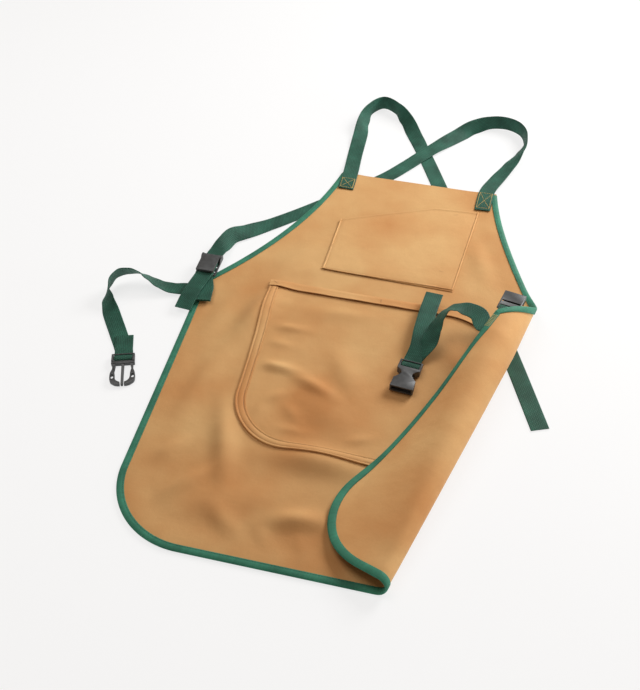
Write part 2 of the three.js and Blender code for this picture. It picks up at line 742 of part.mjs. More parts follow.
// Booleans between closed bodies
function solid(geometry) {
  const bare = geometry.clone();
  bare.deleteAttribute('normal');
  bare.deleteAttribute('uv');
  const merged = mergeVertices(bare, 1e-4);
  return new wasm.Manifold(new wasm.Mesh({
    numProp: 3,
    vertProperties: new Float32Array(merged.attributes.position.array),
    triVerts: new Uint32Array(merged.index.array),
  }));
}

function geometryOf(body) {
  const mesh = body.getMesh();
  const geometry = new THREE.BufferGeometry();
  geometry.setAttribute('position', new THREE.Float32BufferAttribute(mesh.vertProperties, 3));
  geometry.setIndex(Array.from(mesh.triVerts));
  return geometry;
}

function joined(geometries) {
  return geometries.map(solid).reduce((whole, piece) => whole.add(piece));
}

function block(x0, x1, y0, y1, z0, z1) {
  return new THREE.BoxGeometry(x1 - x0, y1 - y0, z1 - z0)
    .translate((x0 + x1) / 2, (y0 + y1) / 2, (z0 + z1) / 2);
}

// A round bar along X
function roundBar(radius, x0, x1, y, z) {
  return new THREE.CylinderGeometry(radius, radius, x1 - x0, ROUND_SIDES)
    .rotateZ(Math.PI / 2)
    .translate((x0 + x1) / 2, y, z);
}

// A flat plate cut to a shape, between two heights
function plate(shape, z0, z1) {
  const options = { depth: z1 - z0, bevelEnabled: false, curveSegments: 6 };
  return new THREE.ExtrudeGeometry(shape, options).translate(0, 0, z0);
}

// A cheek that carries the lever's pin: a profile in Y and Z, as thick as it is wide in X
function cheek(x0, x1) {
  const profile = new THREE.Shape();
  profile.moveTo(20, 0);
  profile.lineTo(CAM.to, 0);
  profile.lineTo(CAM.to, 6);
  profile.lineTo(35, CAM.pivotZ + 4);
  profile.lineTo(29, CAM.pivotZ + 4);
  profile.closePath();
  return plate(profile, 0, x1 - x0)
    .rotateX(Math.PI / 2)
    .rotateZ(Math.PI / 2)
    .translate(x0, 0, 0);
}

// The cam buckle's frame: a slotted plate with two cheeks
function camBase() {
  const { half, from, to, plate: thick } = CAM;
  const body = joined([
    block(-half, half, from, to, -thick / 2, thick / 2),
    cheek(-half, -half + CAM.cheek),
    cheek(half - CAM.cheek, half),
  ]);
  const cuts = joined([
    block(-END.rail, END.rail, 1.2, 6.6, -thick, thick),
    block(-END.rail, END.rail, 14, 17.6, -thick, thick),
    roundBar(CAM.pin + 0.4, -half - 1, half + 1, CAM.pivotY, CAM.pivotZ),
  ]);
  return geometryOf(body.subtract(cuts));
}

// The lever about its pin: a barrel with a gripping nose and a flat handle
function camLever() {
  const { half, reach, nose, barrel, low, high } = LEVER;
  const pinReach = CAM.half - 0.8;
  return geometryOf(joined([
    roundBar(barrel, -half, half, 0, 0),
    roundBar(CAM.pin, -pinReach, pinReach, 0, 0),
    block(-half, half, -reach, 0.6, low, high),
    block(-half, half, -reach, -reach + 2.4, 0.2, low + 0.4),
    block(-half, half, -nose, nose, -barrel - 0.4, 0),
  ]));
}

// The webbing end of a side-release half: two rails, a bar and a crossbar
function webbingEnd(low, high) {
  const { rail, half, barHalf, slot, crossbar } = END;
  return [
    block(-half, -rail, -slot - 1, crossbar, low, high),
    block(rail, half, -slot - 1, crossbar, low, high),
    block(-half, half, slot, crossbar, 1.9, high),
    block(-half, half, -barHalf, barHalf, -1.2, 1.1),
  ];
}

// One springy arm of the male half, with its eye
function maleArm(side) {
  const shape = new THREE.Shape();
  shape.moveTo(side * 10, -10);
  shape.lineTo(side * 14.5, -10);
  shape.lineTo(side * 14.8, -22);
  shape.quadraticCurveTo(side * 18.6, -30, side * 17, -38);
  shape.quadraticCurveTo(side * 13, -46, side * 6, -46);
  shape.lineTo(side * 6.4, -42);
  shape.quadraticCurveTo(side * 10.6, -40, side * 10.8, -34);
  shape.quadraticCurveTo(side * 11.4, -26, side * 10.6, -20);
  shape.closePath();
  const eye = new THREE.Path();
  eye.absellipse(side * 14, -33, 1.7, 3.4, 0, 2 * Math.PI, false, 0);
  shape.holes.push(eye);
  return plate(shape, -2.4, 2.4);
}

function maleHalf() {
  return geometryOf(joined([
    ...webbingEnd(-3, 4.2),
    block(-END.half, END.half, -13, -END.slot, -3, 3.4),
    block(-1.9, 1.9, -46, -12, -2, 2),
    maleArm(1),
    maleArm(-1),
  ]));
}

// The female half: a waisted hollow body, open at its mouth and at both sides of the waist
function femaleHalf() {
  const outline = new THREE.Shape();
  outline.moveTo(-END.half, -END.slot);
  outline.lineTo(END.half, -END.slot);
  outline.lineTo(END.half, -12);
  outline.quadraticCurveTo(10.6, -15, 10.6, -22);
  outline.quadraticCurveTo(10.8, -30, 17.6, -34);
  outline.lineTo(18.4, -52);
  outline.lineTo(-18.4, -52);
  outline.lineTo(-17.6, -34);
  outline.quadraticCurveTo(-10.8, -30, -10.6, -22);
  outline.quadraticCurveTo(-10.6, -15, -END.half, -12);
  outline.closePath();
  const low = -5.6;
  const high = 5.6;
  const body = joined([...webbingEnd(low, high - 1), plate(outline, low, high)]);
  const hollow = block(-15.6, 15.6, -53, -16, -3.4, 3.4);
  return geometryOf(body.subtract(solid(hollow)));
}

function mesh(name, geometry, look) {
  const piece = new THREE.Mesh(geometry, look);
  piece.name = name;
  return piece;
}

// A cam buckle: its frame, and its lever on the pin
function camBuckle(sideName, place) {
  const group = placed(place);
  group.add(mesh(`cam_buckle_base_${sideName}`, camBase(), LOOKS.plastic));
  const lever = mesh(`cam_buckle_lever_${sideName}`, camLever(), LOOKS.plastic);
  lever.position.set(0, CAM.pivotY, CAM.pivotZ);
  group.add(lever);
  return group;
}

// Strap rows on the panel's front, at a height above its back, leaning as the panel does
function rowsOnPanel(points, height) {
  const start = new THREE.Vector2(points[0].x, points[0].y);
  const run = new THREE.Vector2(points.at(-1).x, points.at(-1).y).sub(start).normalize();
  const aside = new THREE.Vector2(run.y, -run.x).multiplyScalar(WEB_WIDTH / 2);
  return points.map(({ x, y }) => {
    const place = drape(x, y, height);
    const ahead = drape(x + run.x, y + run.y, height).sub(place);
    const across = drape(x + aside.x, y + aside.y, height);
    across.sub(drape(x - aside.x, y - aside.y, height));
    const level = new THREE.Vector3(ahead.y, -ahead.x, 0).normalize();
    const tilt = Math.atan2(across.z, across.dot(level));
    const turned = Math.abs(tilt) > Math.PI / 2 ? tilt - Math.sign(tilt) * Math.PI : tilt;
    return { x: place.x, y: place.y, z: place.z, lean: THREE.MathUtils.radToDeg(turned) };
  });
}

// The doubled tab that ties a cam buckle to the hip, both plies ending on the panel
function hipTab(group, points, sag) {
  const under = rowsOnPanel(points, OVER_BINDING + PLY + sag);
  const over = rowsOnPanel(points, OVER_BINDING + 2 * PLY + sag).reverse();
  return ribbon([...under, ...rowsAt(group, TAB_TURN), ...over]);
}

const apron = new THREE.Group();
const camLeft = camBuckle('left', CAM_LEFT);
const camRight = camBuckle('right', CAM_RIGHT);
const male = placed(MALE);
male.add(mesh('side_buckle_male', maleHalf(), LOOKS.plastic));
const female = placed(FEMALE);
female.add(mesh('side_buckle_female', femaleHalf(), LOOKS.plastic));

apron.add(
  mesh('canvas_panel', canvasPanel(), LOOKS.canvas),
  mesh('armhole_binding_left', binding(onArmhole('left')), LOOKS.binding),
  mesh('armhole_binding_right', binding(onArmhole('right')), LOOKS.binding),
  mesh('skirt_binding', binding(({ edge }) => edge === 'skirt'), LOOKS.binding),
  mesh('bib_pocket', bibPocket(), LOOKS.pocket),
  mesh('skirt_pocket', skirtPocket(), LOOKS.pocket),
  mesh('skirt_pocket_tape', pocketTape(), LOOKS.pocket),
  mesh('shoulder_strap_left', ribbon(LEFT_SHOULDER), LOOKS.webbing),
  mesh('shoulder_strap_right', ribbon([
    ...RIGHT_SHOULDER,
    ...rowsAt(camLeft, THROUGH_CAM),
    ...RIGHT_SHOULDER_TAIL,
  ]), LOOKS.webbing),
  mesh('hip_tab_left', hipTab(camLeft, LEFT_TAB, STRAP_SAG), LOOKS.webbing),
  mesh('hip_tab_right', hipTab(camRight, RIGHT_TAB, TAB_SAG), LOOKS.webbing),
  mesh('waist_strap_left', ribbon([
    ...LEFT_WAIST,
    ...rowsAt(male, BAR_TURN),
    ...rowsAt(male, MALE_TAIL),
  ]), LOOKS.webbing),
  mesh('waist_strap_right', ribbon([
    ...rowsOnPanel(RIGHT_WAIST_START, OVER_BINDING + STRAP_SAG),
    ...RIGHT_WAIST,
    ...rowsAt(female, BAR_TURN),
    ...RIGHT_WAIST_TAIL,
  ]), LOOKS.webbing),
  camLeft,
  camRight,
  male,
  female,
);

// The origin is the middle of the whole apron's footprint, on the floor
const extent = new THREE.Box3().setFromObject(apron, true);
const centre = extent.getCenter(new THREE.Vector3());
apron.position.set(-centre.x, -centre.y, -extent.min.z);

export default apron;
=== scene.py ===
"""A canvas work apron lying on its back, one side curled over its front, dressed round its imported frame."""

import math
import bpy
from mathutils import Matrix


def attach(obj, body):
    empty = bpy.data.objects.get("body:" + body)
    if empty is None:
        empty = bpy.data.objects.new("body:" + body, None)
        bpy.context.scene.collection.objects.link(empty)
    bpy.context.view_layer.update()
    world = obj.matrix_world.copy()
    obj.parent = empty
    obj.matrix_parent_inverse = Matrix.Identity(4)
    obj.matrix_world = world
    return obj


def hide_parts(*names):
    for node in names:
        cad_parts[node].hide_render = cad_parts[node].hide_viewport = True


bl_info = {
    "name": "Canvas work apron",
    "version": (1, 0, 0),
    "blender": (4, 5, 0),
    "location": "3D View > Sidebar > Apron",
    "description": "Canvas, binding, webbing, stitches and buckles of a work apron on its packed frame",
    "category": "Object",
}

from collections import namedtuple

import bpy
import numpy as np
from bpy.props import FloatProperty, FloatVectorProperty, PointerProperty
from mathutils import Matrix, Vector

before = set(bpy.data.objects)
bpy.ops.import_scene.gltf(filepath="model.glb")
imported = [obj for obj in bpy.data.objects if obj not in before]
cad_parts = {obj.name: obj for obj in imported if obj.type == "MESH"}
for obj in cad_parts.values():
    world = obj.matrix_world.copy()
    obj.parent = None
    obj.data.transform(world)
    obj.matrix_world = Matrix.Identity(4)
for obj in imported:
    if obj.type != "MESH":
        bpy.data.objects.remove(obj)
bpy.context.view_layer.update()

# The pattern is drawn in millimetres from the middle of the bib's top edge, on the floor
MM = 0.001
PATTERN_ORIGIN = np.array([75.033, 288.3226, 0.0006])

# A cut with straight sides and rounded lower corners, mirrored about x = 0
Cut = namedtuple("Cut", "top_half top low_half bottom corner")
ARC_POINTS = 40

# The panel: half the bib, the pull of the armhole's curve, and the skirt from the hips down
BIB_HALF = 132.5
ARMHOLE_PULL = (160.0, -172.0)
ARMHOLE_POINTS = 120
BOUND_FROM = 0.012
SKIRT = Cut(top_half=280.0, top=-322.0, low_half=270.0, bottom=-793.0, corner=111.0)
PANEL_MIDDLE = (0, -450)

# The panel's grid: columns and rows, the share of rows above the corners, and where its columns stand
PANEL_GRID = (172, 204)
PANEL_STRAIGHT = 0.8
PANEL_COLUMNS = ((0, 0.6, 1), (-1, 0.5, 1))

# How the cloth rises over the straps and over its own binding, and the zones where each comes in
STRAP_LIFT = 2.1
STRAP_SLANT = 0.55
STRAP_ZONE = (-420, -330)
RIM_RISE = 1.3
RIM_ZONE = (16, 44)
RIPPLE_ZONE = (10, 60)

# How far the curled side is dragged in its own plane, and the zones where the drag comes in
SKEW_ACROSS = 13.0
SKEW_DOWN = 54.0
SKEW_SIDE_ZONE = (100, 230)
SKEW_HEM_ZONE = (-700, -330)
SKEW_BIB_ZONE = (60, 300)
SKEW_ROUNDS = 12

# The roll along the fold: the fold's turn in radians, the roll's radii, and how it droops and eases in
FOLD_TURN = -0.2
FOLD_OFFSET = 244.0
FLAP_REST = 8.5
ROLL_FROM = -850.0
ROLL_LENGTH = 500.0
ROLL_HEM = 6.2
ROLL_MIDDLE = 20.5
ROLL_HIP = 34.0
ROLL_DROOP = 0.86
LEAST_SLOPE = 1e-6
ROLL_EASE = 9.0
ROLL_EASE_SHARE = 0.25
EASE_SHARES = (-1, -0.6, -0.2, 0.2, 0.6, 1)
FOLD_OUT = (math.cos(FOLD_TURN), math.sin(FOLD_TURN))
FOLD_ALONG = (-FOLD_OUT[1], FOLD_OUT[0])

# Ripples in the open cloth: place, half length, half width, turn and rise
RIPPLES = (
    (-179, -370, 76, 27, 1.3, 14.0),
    (-238, -402, 80, 26, 1.3, 6.0),
    (-212, -500, 80, 30, 1.45, 4.0),
    (-230, -570, 70, 26, 1.3, 4.0),
    (-154, -616, 84, 24, 1.86, 11.0),
    (-224, -650, 50, 19, 0.85, 5.5),
    (-179, -690, 48, 18, 0.9, 6.5),
    (-110, -705, 95, 40, 0.3, 4.0),
    (-118, -738, 50, 24, -0.75, 5.0),
    (-26, -622, 78, 34, 0.02, 12.0),
    (-26, -717, 48, 23, 0.2, 10.5),
    (-62, -752, 34, 16, -0.9, 2.6),
    (-12, -757, 36, 16, -1.2, 2.6),
    (-150, -225, 75, 30, 0.9, 3.5),
    (-128, -262, 45, 20, 0.5, 2.2),
    (128, -175, 55, 26, -1.26, 3.5),
    (70, -100, 60, 30, 1.2, 0.8),
)

# Puffs of the skirt pocket, in the same columns
POCKET_PUFFS = (
    (-122, -392, 32, 12, 0.05, 3.6),
    (-134, -425, 36, 13, -0.1, 2.4),
    (-122, -472, 42, 14, -0.05, 6.2),
    (-60, -496, 46, 17, -0.45, 6.4),
    (-31, -536, 70, 48, -0.7, 5.5),
    (-24, -462, 62, 30, -1.04, 5.6),
    (-108, -524, 22, 13, 0.6, 2.6),
    (-80, -548, 24, 14, -0.8, 2.4),
    (-71, -580, 34, 12, 0, 2.4),
    (-128, -555, 22, 12, 1.2, 2.4),
    (20, -576, 30, 12, 0.5, 2.4),
    (-60, -346, 70, 24, 0.1, 2.4),
    (-150, -345, 26, 13, 0.9, 2.0),
)

# How wide a hill's steep near left side and its gentle far side are
STEEP_SIDE = 0.78
GENTLE_SIDE = 0.95

# How much more a pocket stands off the panel where the panel begins to roll
CURL_GAP = 1.1
CURL_ZONE = (-30, 0)

# The bib pocket: its mouth, its bottom edge and the lines of its sewn sides
BIB_TOP = ((-107, -128), (-70, -111), (39, -63), (111, -58))
BIB_BOTTOM = ((-109, -253), (97, -257))
BIB_LEFT = -108
BIB_LOW = -255
BIB_RIGHT = 104
BIB_RIGHT_AT = -157
BIB_RIGHT_SLOPE = 0.07

# Its turned edges: the height along the seams, then each rise and where that starts and ends from the edge
BIB_SEWN = 0.1
BIB_RISES = ((1.7, 0, 1.1), (-1.3, 1.9, 3), (0.6, 3.2, 6), (0.4, 5, 20))
BIB_MOUTH_RISES = ((1.1, 0, 1.6), (-0.9, 2.6, 5.5))

# Its grid: the shares of its width at a turned edge, and the first, last and number of the plain ones
BIB_EDGE_SHARES = (0, 0.004, 0.009, 0.014, 0.019, 0.026, 0.04)
BIB_PLAIN_SHARES = (0.06, 0.94, 60)

# The skirt pocket: its cut and grid, how it stands off the panel, and the zones where it puffs
POCKET = Cut(top_half=175.0, top=-300.0, low_half=162.0, bottom=-612.0, corner=92.0)
POCKET_MIDDLE = (0, -430)
POCKET_GRID = (104, 100)
POCKET_STRAIGHT = 0.7
POCKET_SEWN = 0.2
POCKET_RISES = ((0.8, 4, 24),)
PUFF_RIM_ZONE = (12, 40)
PUFF_MOUTH_ZONE = (318, 345)

# Its tape, which stops short of the mouth by some points, and its band, which runs past the sides
TAPE_STEP = 2.5
TAPE_KEPT = slice(4, -4)
BAND_PAST = 1.5
BAND_WAVE = 0.25
BAND_WAVE_LENGTH = 9.0
BAND_WAVE_FROM = 4

# The binding: the room for the canvas in its fold, and how far the armholes' laps over the skirt's
BINDING_STEP = 2.4
BINDING_ROOM = 0.15
BINDING_LAP = 0.3

# Buckles: the place of each webbing bar, then pitch, roll and yaw
CAM_LEFT = ((-278, -311, 10), (0, 0, 0))
MALE = ((-338, -506, 3.4), (0, 0, 0.33))
FEMALE = ((64, -427, 11.4), (0, 0, -0.1))
CAM_RIGHT = ((183, -321.5, 47.5), (-0.06, math.pi, -0.2))

# Straps as rows of a centre line: place, then the lean about its run in degrees
LEFT_SHOULDER = (
    (-117, -46, 6.4, -3.7),
    (-118, -20, 6.4, -3.7),
    (-119, 4, 6.0, -3),
    (-124, 59, 1.4, 0),
    (-127, 118, 4, -14),
    (-129, 160, 9.5, -48),
    (-122, 195, 13.2, -84),
    (-103, 217, 13.2, -90),
    (-79, 206, 13.2, -86),
    (-57, 181, 10, -52),
    (-29, 135, 2.8, -10),
    (-8, 95, 0.8, 0),
    (40, -7, 0.8, 0),
    (120, -190, 0.8, 0),
    (202, -377, 0.8, 0),
    (252, -495, 0.8, 0),
)
RIGHT_SHOULDER = (
    (115, -50, 6.4, 3.7),
    (115, -22, 6.4, 3.7),
    (117, 5, 6.0, 3),
    (128, 43, 3.2, 6),
    (145, 87, 5.2, 20),
    (159, 126, 10, 52),
    (164, 159, 13.2, 84),
    (152, 189, 13.2, 90),
    (128, 202, 13.2, 90),
    (100, 199, 13.2, 86),
    (72, 182, 11, 62),
    (40, 148, 6, 22),
    (3, 99, 3.8, 0),
    (-30, 48, 1.9, 0),
    (-58, 8, 0.8, 0),
    (-120, -62, 0.8, 0),
    (-173, -119, 0.8, 0),
    (-212, -160, 2, 4),
    (-245, -194, 6, 20),
    (-264, -216, 11, 40),
    (-270, -238, 12.4, 30),
    (-275, -258, 12.4, 2),
)
RIGHT_SHOULDER_TAIL = (
    (-279, -322, 15, 0),
    (-282, -342, 14.8, 0),
    (-285, -364, 13.8, 0),
    (-287.5, -393, 8.6, 0),
)
LEFT_WAIST = (
    (-272, -347, 7.3, 0),
    (-284, -347, 7.2, 0),
    (-300, -347, 4.6, 0),
    (-320, -350, 4.6, -6),
    (-340, -350, 9, -20),
    (-357, -348, 16, -36),
    (-371, -346, 21, -50),
    (-387, -349, 24, -62),
    (-402, -358, 24, -70),
    (-408, -373, 20, -80),
    (-408, -388, 14.6, -72),
    (-402, -404, 9.4, -42),
    (-386, -428, 3, -10),
    (-365, -458, 1.2, 0),
)
RIGHT_WAIST = (
    (144, -352, 57, 12),
    (127, -344, 56, 5),
    (111, -342, 54, -20),
    (99, -347, 50, -42),
    (91, -358, 42.5, -42),
    (86, -373, 32.5, -28),
    (81, -394, 22, -10),
)
RIGHT_WAIST_TAIL = (
    (69, -398, 17, 0),
    (69, -370, 23, 0),
    (70, -332, 24, 0),
    (73, -285, 21, 0),
)
RIGHT_WAIST_START = ((262, -350), (276, -350), (288, -350))
LEFT_TAB = ((-264.5, -371), (-266.5, -358), (-268.5, -343))
RIGHT_TAB = ((253, -360), (256, -342))

# Webbing: its size and section, the step between plies, and how tabs and straps lie at the hips
WEB_WIDTH = 26.0
WEB = 1.5
WEB_EDGE = ((0, 0), (0.25, 0.5), (0.9, 0.92), (2.2, 1))
WEB_BELLY = 0.94
WEB_STEP = 3.0
WEB_UPRIGHT = 0.25
PLY = WEB + 0.45
OVER_BINDING = 3.85
STRAP_SAG = 1.0
TAB_SAG = 5.2

# Webbing round a buckle's bar, along and above in the buckle's own frame
BAR_TURN = (
    (16, -2.5),
    (4, -2.5),
    (-1.2, -2.5),
    (-3.9, -1.5),
    (-4.7, 0.2),
    (-3.6, 1.9),
    (-0.8, 2.5),
    (1.8, 2.4),
    (4.6, 1.1),
    (7, 0.1),
    (12, -0.3),
)
TAB_TURN = ((-8, -2.2), (-0.4, -2.2), (2.3, -1.9), (3.9, 0), (2.3, 1.9), (-0.4, 2.2), (-8, 2.2))
THROUGH_CAM = ((36, 2.2), (22, 2.2), (9, 3.6), (0, 4.5))
MALE_TAIL = ((26, -0.3), (46, -0.3))
FEMALE_BAR_BACK = 4

# Seams and bar tacks as lines on the pattern, how far in they run, and how high on a tape or a band
SEAM_STEP = 1.5
EDGE_SEAM_STEP = 3
BINDING_SEAM = 1.7
BINDING_SEAM_SINK = 0.05
BIB_SEAM = ((-104.4, -131), (-106.4, -250.4), (94.4, -254.4), (108.4, -61))
TAPE_SEAM = 2.5
TAPE_SEAM_RISE = 1.15
TACK_PITCH = 1.6
TACK_WIDER = 1.3
BAND_TACK_RISE = 2.7
BAND_TACKS = (((-4, -303), (-3, -313)), ((-171, -302), (-163, -309)), ((171, -302), (163, -309)))
BIB_TACKS = (((42, -66), (36, -69)), ((78, -72), (72, -75)), ((70, -216), (77, -217)))

# Boxed crosses on the shoulder straps, from and to along each, and rows of stitches behind the right hip
PATCHES = ((LEFT_SHOULDER, 3, 28), (RIGHT_SHOULDER, 5, 46))
PATCH_HALF = 10.5
PATCH_STEP = 1.0
PATCH_PITCH = 2.9
PATCH_WIDER = 1.35
HIP_ROWS = (272.2, 274.2, 276.4, 278.4)
HIP_ROW_ENDS = (-331, -358)
HIP_ROW_LEAN = 0.4
HIP_ROW_HEIGHT = -1.2

# One stitch: half its length as a share of the pitch, its lift and half its height as shares of its width
STITCH_HALF = 0.38
STITCH_LIFT = 0.12
STITCH_TALL = 0.36

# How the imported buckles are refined: distances from the bar or the middle, and what each becomes
CAM_CHEEKS = ((0, 13.6, 15, 18), (0, 13.6, 14.1, 16.0))
CAM_HEIGHTS = ((-3, 7.2, 11.2), (-3, 7.2, 10.0))
CAM_PIN = ((0, 13.8, 17.2), (0, 13.8, 15.6))
CAM_HANDLE = ((1, 20, 60), (-5, 20, 60))
RAILS = ((0, 13.6, 16.5), (0, 13.8, 16.3))
MALE_RUN = ((-46, -13, -7, 0, 7, 9.5), (-52, -12, -7, 0, 5.4, 6.8))
MALE_ARMS = ((0, 1.9, 6.4, 10.8, 14.8, 18.6), (0, 1.7, 3.2, 12.6, 14.6, 17.2))
MALE_EYES = ((0, 1.9, 6.4, 10.8, 12.3, 15.7, 18.6), (0, 1.7, 3.2, 10.6, 11.9, 16.8, 18.4))
FEMALE_RUN = ((-52, -7, 0, 7, 9.5), (-52, -11, -4, 1.6, 3.0))

# Where the rails, the arms and their eyes begin, how much lower rails are, and how the female half narrows
RAIL_ZONE = (-7.2, -6.8)
RAIL_LOWER = 0.3
ARMS_FROM = -14
EYES_ZONE = (20, 29)
WAIST_AT = -22
WAIST_SPREAD = 6.5
WAIST_NARROWER = 0.28
MOUTH_ZONE = (30, 34)
MOUTH_NARROWER = 0.1

# Lengths in metres: the buckles' rounded edges, the binding's weave, and how near two points are one
BUCKLE_EDGE = 0.0005
BINDING_WEAVE = 0.0009
WELD = 1e-6

# Angles in radians: edges sharper than these stay sharp or are rounded, and faces within one are joined
CLOTH_SHARP = math.radians(45)
STRIP_SHARP = math.radians(50)
BUCKLE_SHARP = math.radians(40)
BUCKLE_ROUNDED = math.radians(35)
BUCKLE_FLAT = math.radians(1)

# The canvas: which of its possible drifts between golden and brown, how much its back is painted paler as
# light on the shaded curled flap, and how much paler its pockets are
DRIFT_SEED = 1.4
BACK_PAINTED_LIFT = 1.09
POCKET_PALER = 1.03

# The studio's floor is a disc whose rim curves up into a wall, in metres
FLOOR_TOP = -0.0004
FLOOR_RADIUS = 9
COVE_RADIUS = 3
COVE_SIDES = 96
COVE_STEPS = 10
FLOOR_GLOW = 0.75

# The room's tint, and the lights: name, place and aim in metres, size, and the setting for the power
ROOM_TINT = (1, 0.72, 0.50, 1)
LIGHTS = (
    ("key_light", (0.98, 1.29, 1.08), (0, -0.1, 0), 0.9, "key_power"),
    ("side_light", (1.7, 0.1, 0.22), (0.1, -0.1, 0.03), 0.5, "side_power"),
    ("top_light", (-0.7, 0.2, 2.0), (0, -0.1, 0), 1.4, "top_power"),
)

# The view: the floor point in the middle of the picture, in metres, and the angles in degrees
VIEW_POINT = (0.00244, -0.12194, 0.0)
VIEW_DISTANCE = 1.5
VIEW_AZIMUTH = 13.774
VIEW_ELEVATION = 45.622
VIEW_SENSOR = 36
VIEW_LENS = 54


def length_prop(name, description, default):
    """A length that a user may change."""
    return FloatProperty(
        name=name,
        description=description,
        default=default,
        min=default * 0.3,
        max=default * 3,
        precision=5,
        subtype="DISTANCE",
        unit="LENGTH",
    )


def colour_prop(name, description, default):
    """A colour that a user may change."""
    return FloatVectorProperty(
        name=name,
        description=description,
        default=default,
        min=0,
        max=1,
        size=3,
        subtype="COLOR",
    )


def power_prop(name, description, default):
    """A light's power that a user may change."""
    return FloatProperty(name=name, description=description, default=default, min=0, unit="POWER")


class ApronSizes(bpy.types.PropertyGroup):
    """Thicknesses, widths and pitches of the cloth, tapes and stitches."""

    canvas: length_prop("Canvas", "Thickness of the canvas panel", 0.0014)
    pocket_cloth: length_prop("Pocket cloth", "Thickness of the pockets", 0.0011)
    binding_width: length_prop("Binding width", "Width of the binding on the front", 0.009)
    binding_ply: length_prop("Binding ply", "Thickness of the folded binding", 0.00095)
    tape_width: length_prop("Pocket tape", "Width of the tape round the skirt pocket", 0.013)
    band_width: length_prop("Pocket band", "Height of the skirt pocket's turned hem", 0.014)
    weave: length_prop("Weave pitch", "Two yarns of the canvas", 0.0012)
    rib: length_prop("Webbing rib", "One rib of the webbing", 0.0026)
    stitch_pitch: length_prop("Stitch pitch", "From one stitch to the next", 0.0034)
    stitch_width: length_prop("Stitch width", "Width of a stitch", 0.0007)


class ApronColours(bpy.types.PropertyGroup):
    """Colours of the cloth, webbing, thread and buckles."""

    canvas_gold: colour_prop("Canvas gold", "The canvas where it is golden", (0.620, 0.372, 0.154))
    canvas_rose: colour_prop("Canvas rose", "The canvas where it is browner", (0.510, 0.230, 0.075))
    binding: colour_prop("Binding", "The bias binding", (0.033, 0.195, 0.120))
    webbing: colour_prop("Webbing", "The straps", (0.0190, 0.100, 0.066))
    gold_thread: colour_prop("Gold thread", "Thread of the strap patches", (0.66, 0.44, 0.12))
    # The pocket thread is painted darker than tan, standing in for the shade in its stitch pits
    tan_thread: colour_prop("Tan thread", "Thread of the pockets", (0.33, 0.165, 0.062))
    green_thread: colour_prop("Green thread", "Thread of the binding", (0.010, 0.105, 0.062))
    plastic: colour_prop("Buckles", "The moulded buckles", (0.042, 0.045, 0.047))
    floor: colour_prop("Floor", "The pale floor", (0.20, 0.20, 0.20))


class ApronStudio(bpy.types.PropertyGroup):
    """Light of the studio."""

    key_power: power_prop("Key light", "Power of the large soft light behind and to the right", 39.5)
    side_power: power_prop("Side light", "Power of the low soft light on the right", 8)
    top_power: power_prop("Top light", "Power of the large soft light overhead", 16.5)
    sky: FloatProperty(
        name="Room light",
        description="Strength of the even light of the room",
        default=0.18,
        min=0,
        max=5,
        subtype="FACTOR",
    )


# The lie of the cloth


def smoothstep(value, low, high):
    """0 below low, 1 above high, and a smooth rise between."""
    t = np.clip((value - low) / (high - low), 0, 1)
    return t * t * (3 - 2 * t)


def rises(value, table):
    """The sum of smooth rises, each with where it starts and ends."""
    return sum(rise * smoothstep(value, start, end) for rise, start, end in table)


def unit(vectors):
    """Vectors brought to a length of one."""
    return vectors / np.linalg.norm(vectors, axis=-1, keepdims=True)


def cut_half(cut, y):
    """Half the width of a cut at a height on the pattern."""
    corner_y = cut.bottom + cut.corner
    side = cut.top_half + (cut.low_half - cut.top_half) * (y - cut.top) / (corner_y - cut.top)
    drop = np.clip(corner_y - y, 0, cut.corner)
    corner = cut.low_half - cut.corner + np.sqrt(cut.corner**2 - drop**2)
    return np.where(y > corner_y, side, corner)


def armhole_at(t):
    """A point of the right armhole's edge, from the bib's corner at 0 to the hip at 1."""
    x = (1 - t) ** 2 * BIB_HALF + 2 * t * (1 - t) * ARMHOLE_PULL[0] + t * t * SKIRT.top_half
    y = 2 * t * (1 - t) * ARMHOLE_PULL[1] + t * t * SKIRT.top
    return x, y


def half_width(y):
    """Half the panel's width at a height on the pattern."""
    bend = SKIRT.top - 2 * ARMHOLE_PULL[1]
    pull = 2 * ARMHOLE_PULL[1]
    t = (-pull - np.sqrt(pull**2 + 4 * bend * np.clip(y, SKIRT.top, 0))) / (2 * bend)
    return np.where(y > SKIRT.top, armhole_at(t)[0], cut_half(SKIRT, y))


def rim_distance(cut, half, x, y):
    """How far a point on the pattern lies inside the edge of a cut, whose half width is given there."""
    aside = np.abs(x) - (cut.low_half - cut.corner)
    below = cut.bottom + cut.corner - y
    rounded = cut.corner - np.hypot(aside, below)
    straight = np.minimum(half - np.abs(x), y - cut.bottom)
    return np.where((aside > 0) & (below > 0), rounded, straight)


def skewed(x, y):
    """The curled side is dragged down and out in its own plane."""
    amount = smoothstep(x, *SKEW_SIDE_ZONE) * smoothstep(y, *SKEW_HEM_ZONE) * smoothstep(-y, *SKEW_BIB_ZONE)
    return x + SKEW_ACROSS * amount, y - SKEW_DOWN * amount


def unskewed(x, y):
    """The pattern point that skewed moves to a place."""
    guess_x, guess_y = x, y
    for _ in range(SKEW_ROUNDS):
        at_x, at_y = skewed(guess_x, guess_y)
        guess_x, guess_y = guess_x + x - at_x, guess_y + y - at_y
    return guess_x, guess_y


def hills(x, y, table):
    """The height of soft oval hills at pattern points, steeper towards the near left."""
    height = np.zeros(np.shape(x))
    for at_x, at_y, long, wide, turn, rise in table:
        along = ((x - at_x) * math.cos(turn) + (y - at_y) * math.sin(turn)) / long
        aside = ((y - at_y) * math.cos(turn) - (x - at_x) * math.sin(turn)) / wide
        near_left = aside * (math.sin(turn) - math.cos(turn)) > 0
        aside = aside / np.where(near_left, STEEP_SIDE, GENTLE_SIDE)
        height = height + rise * np.exp(-2 * (along**2 + aside**2))
    return height


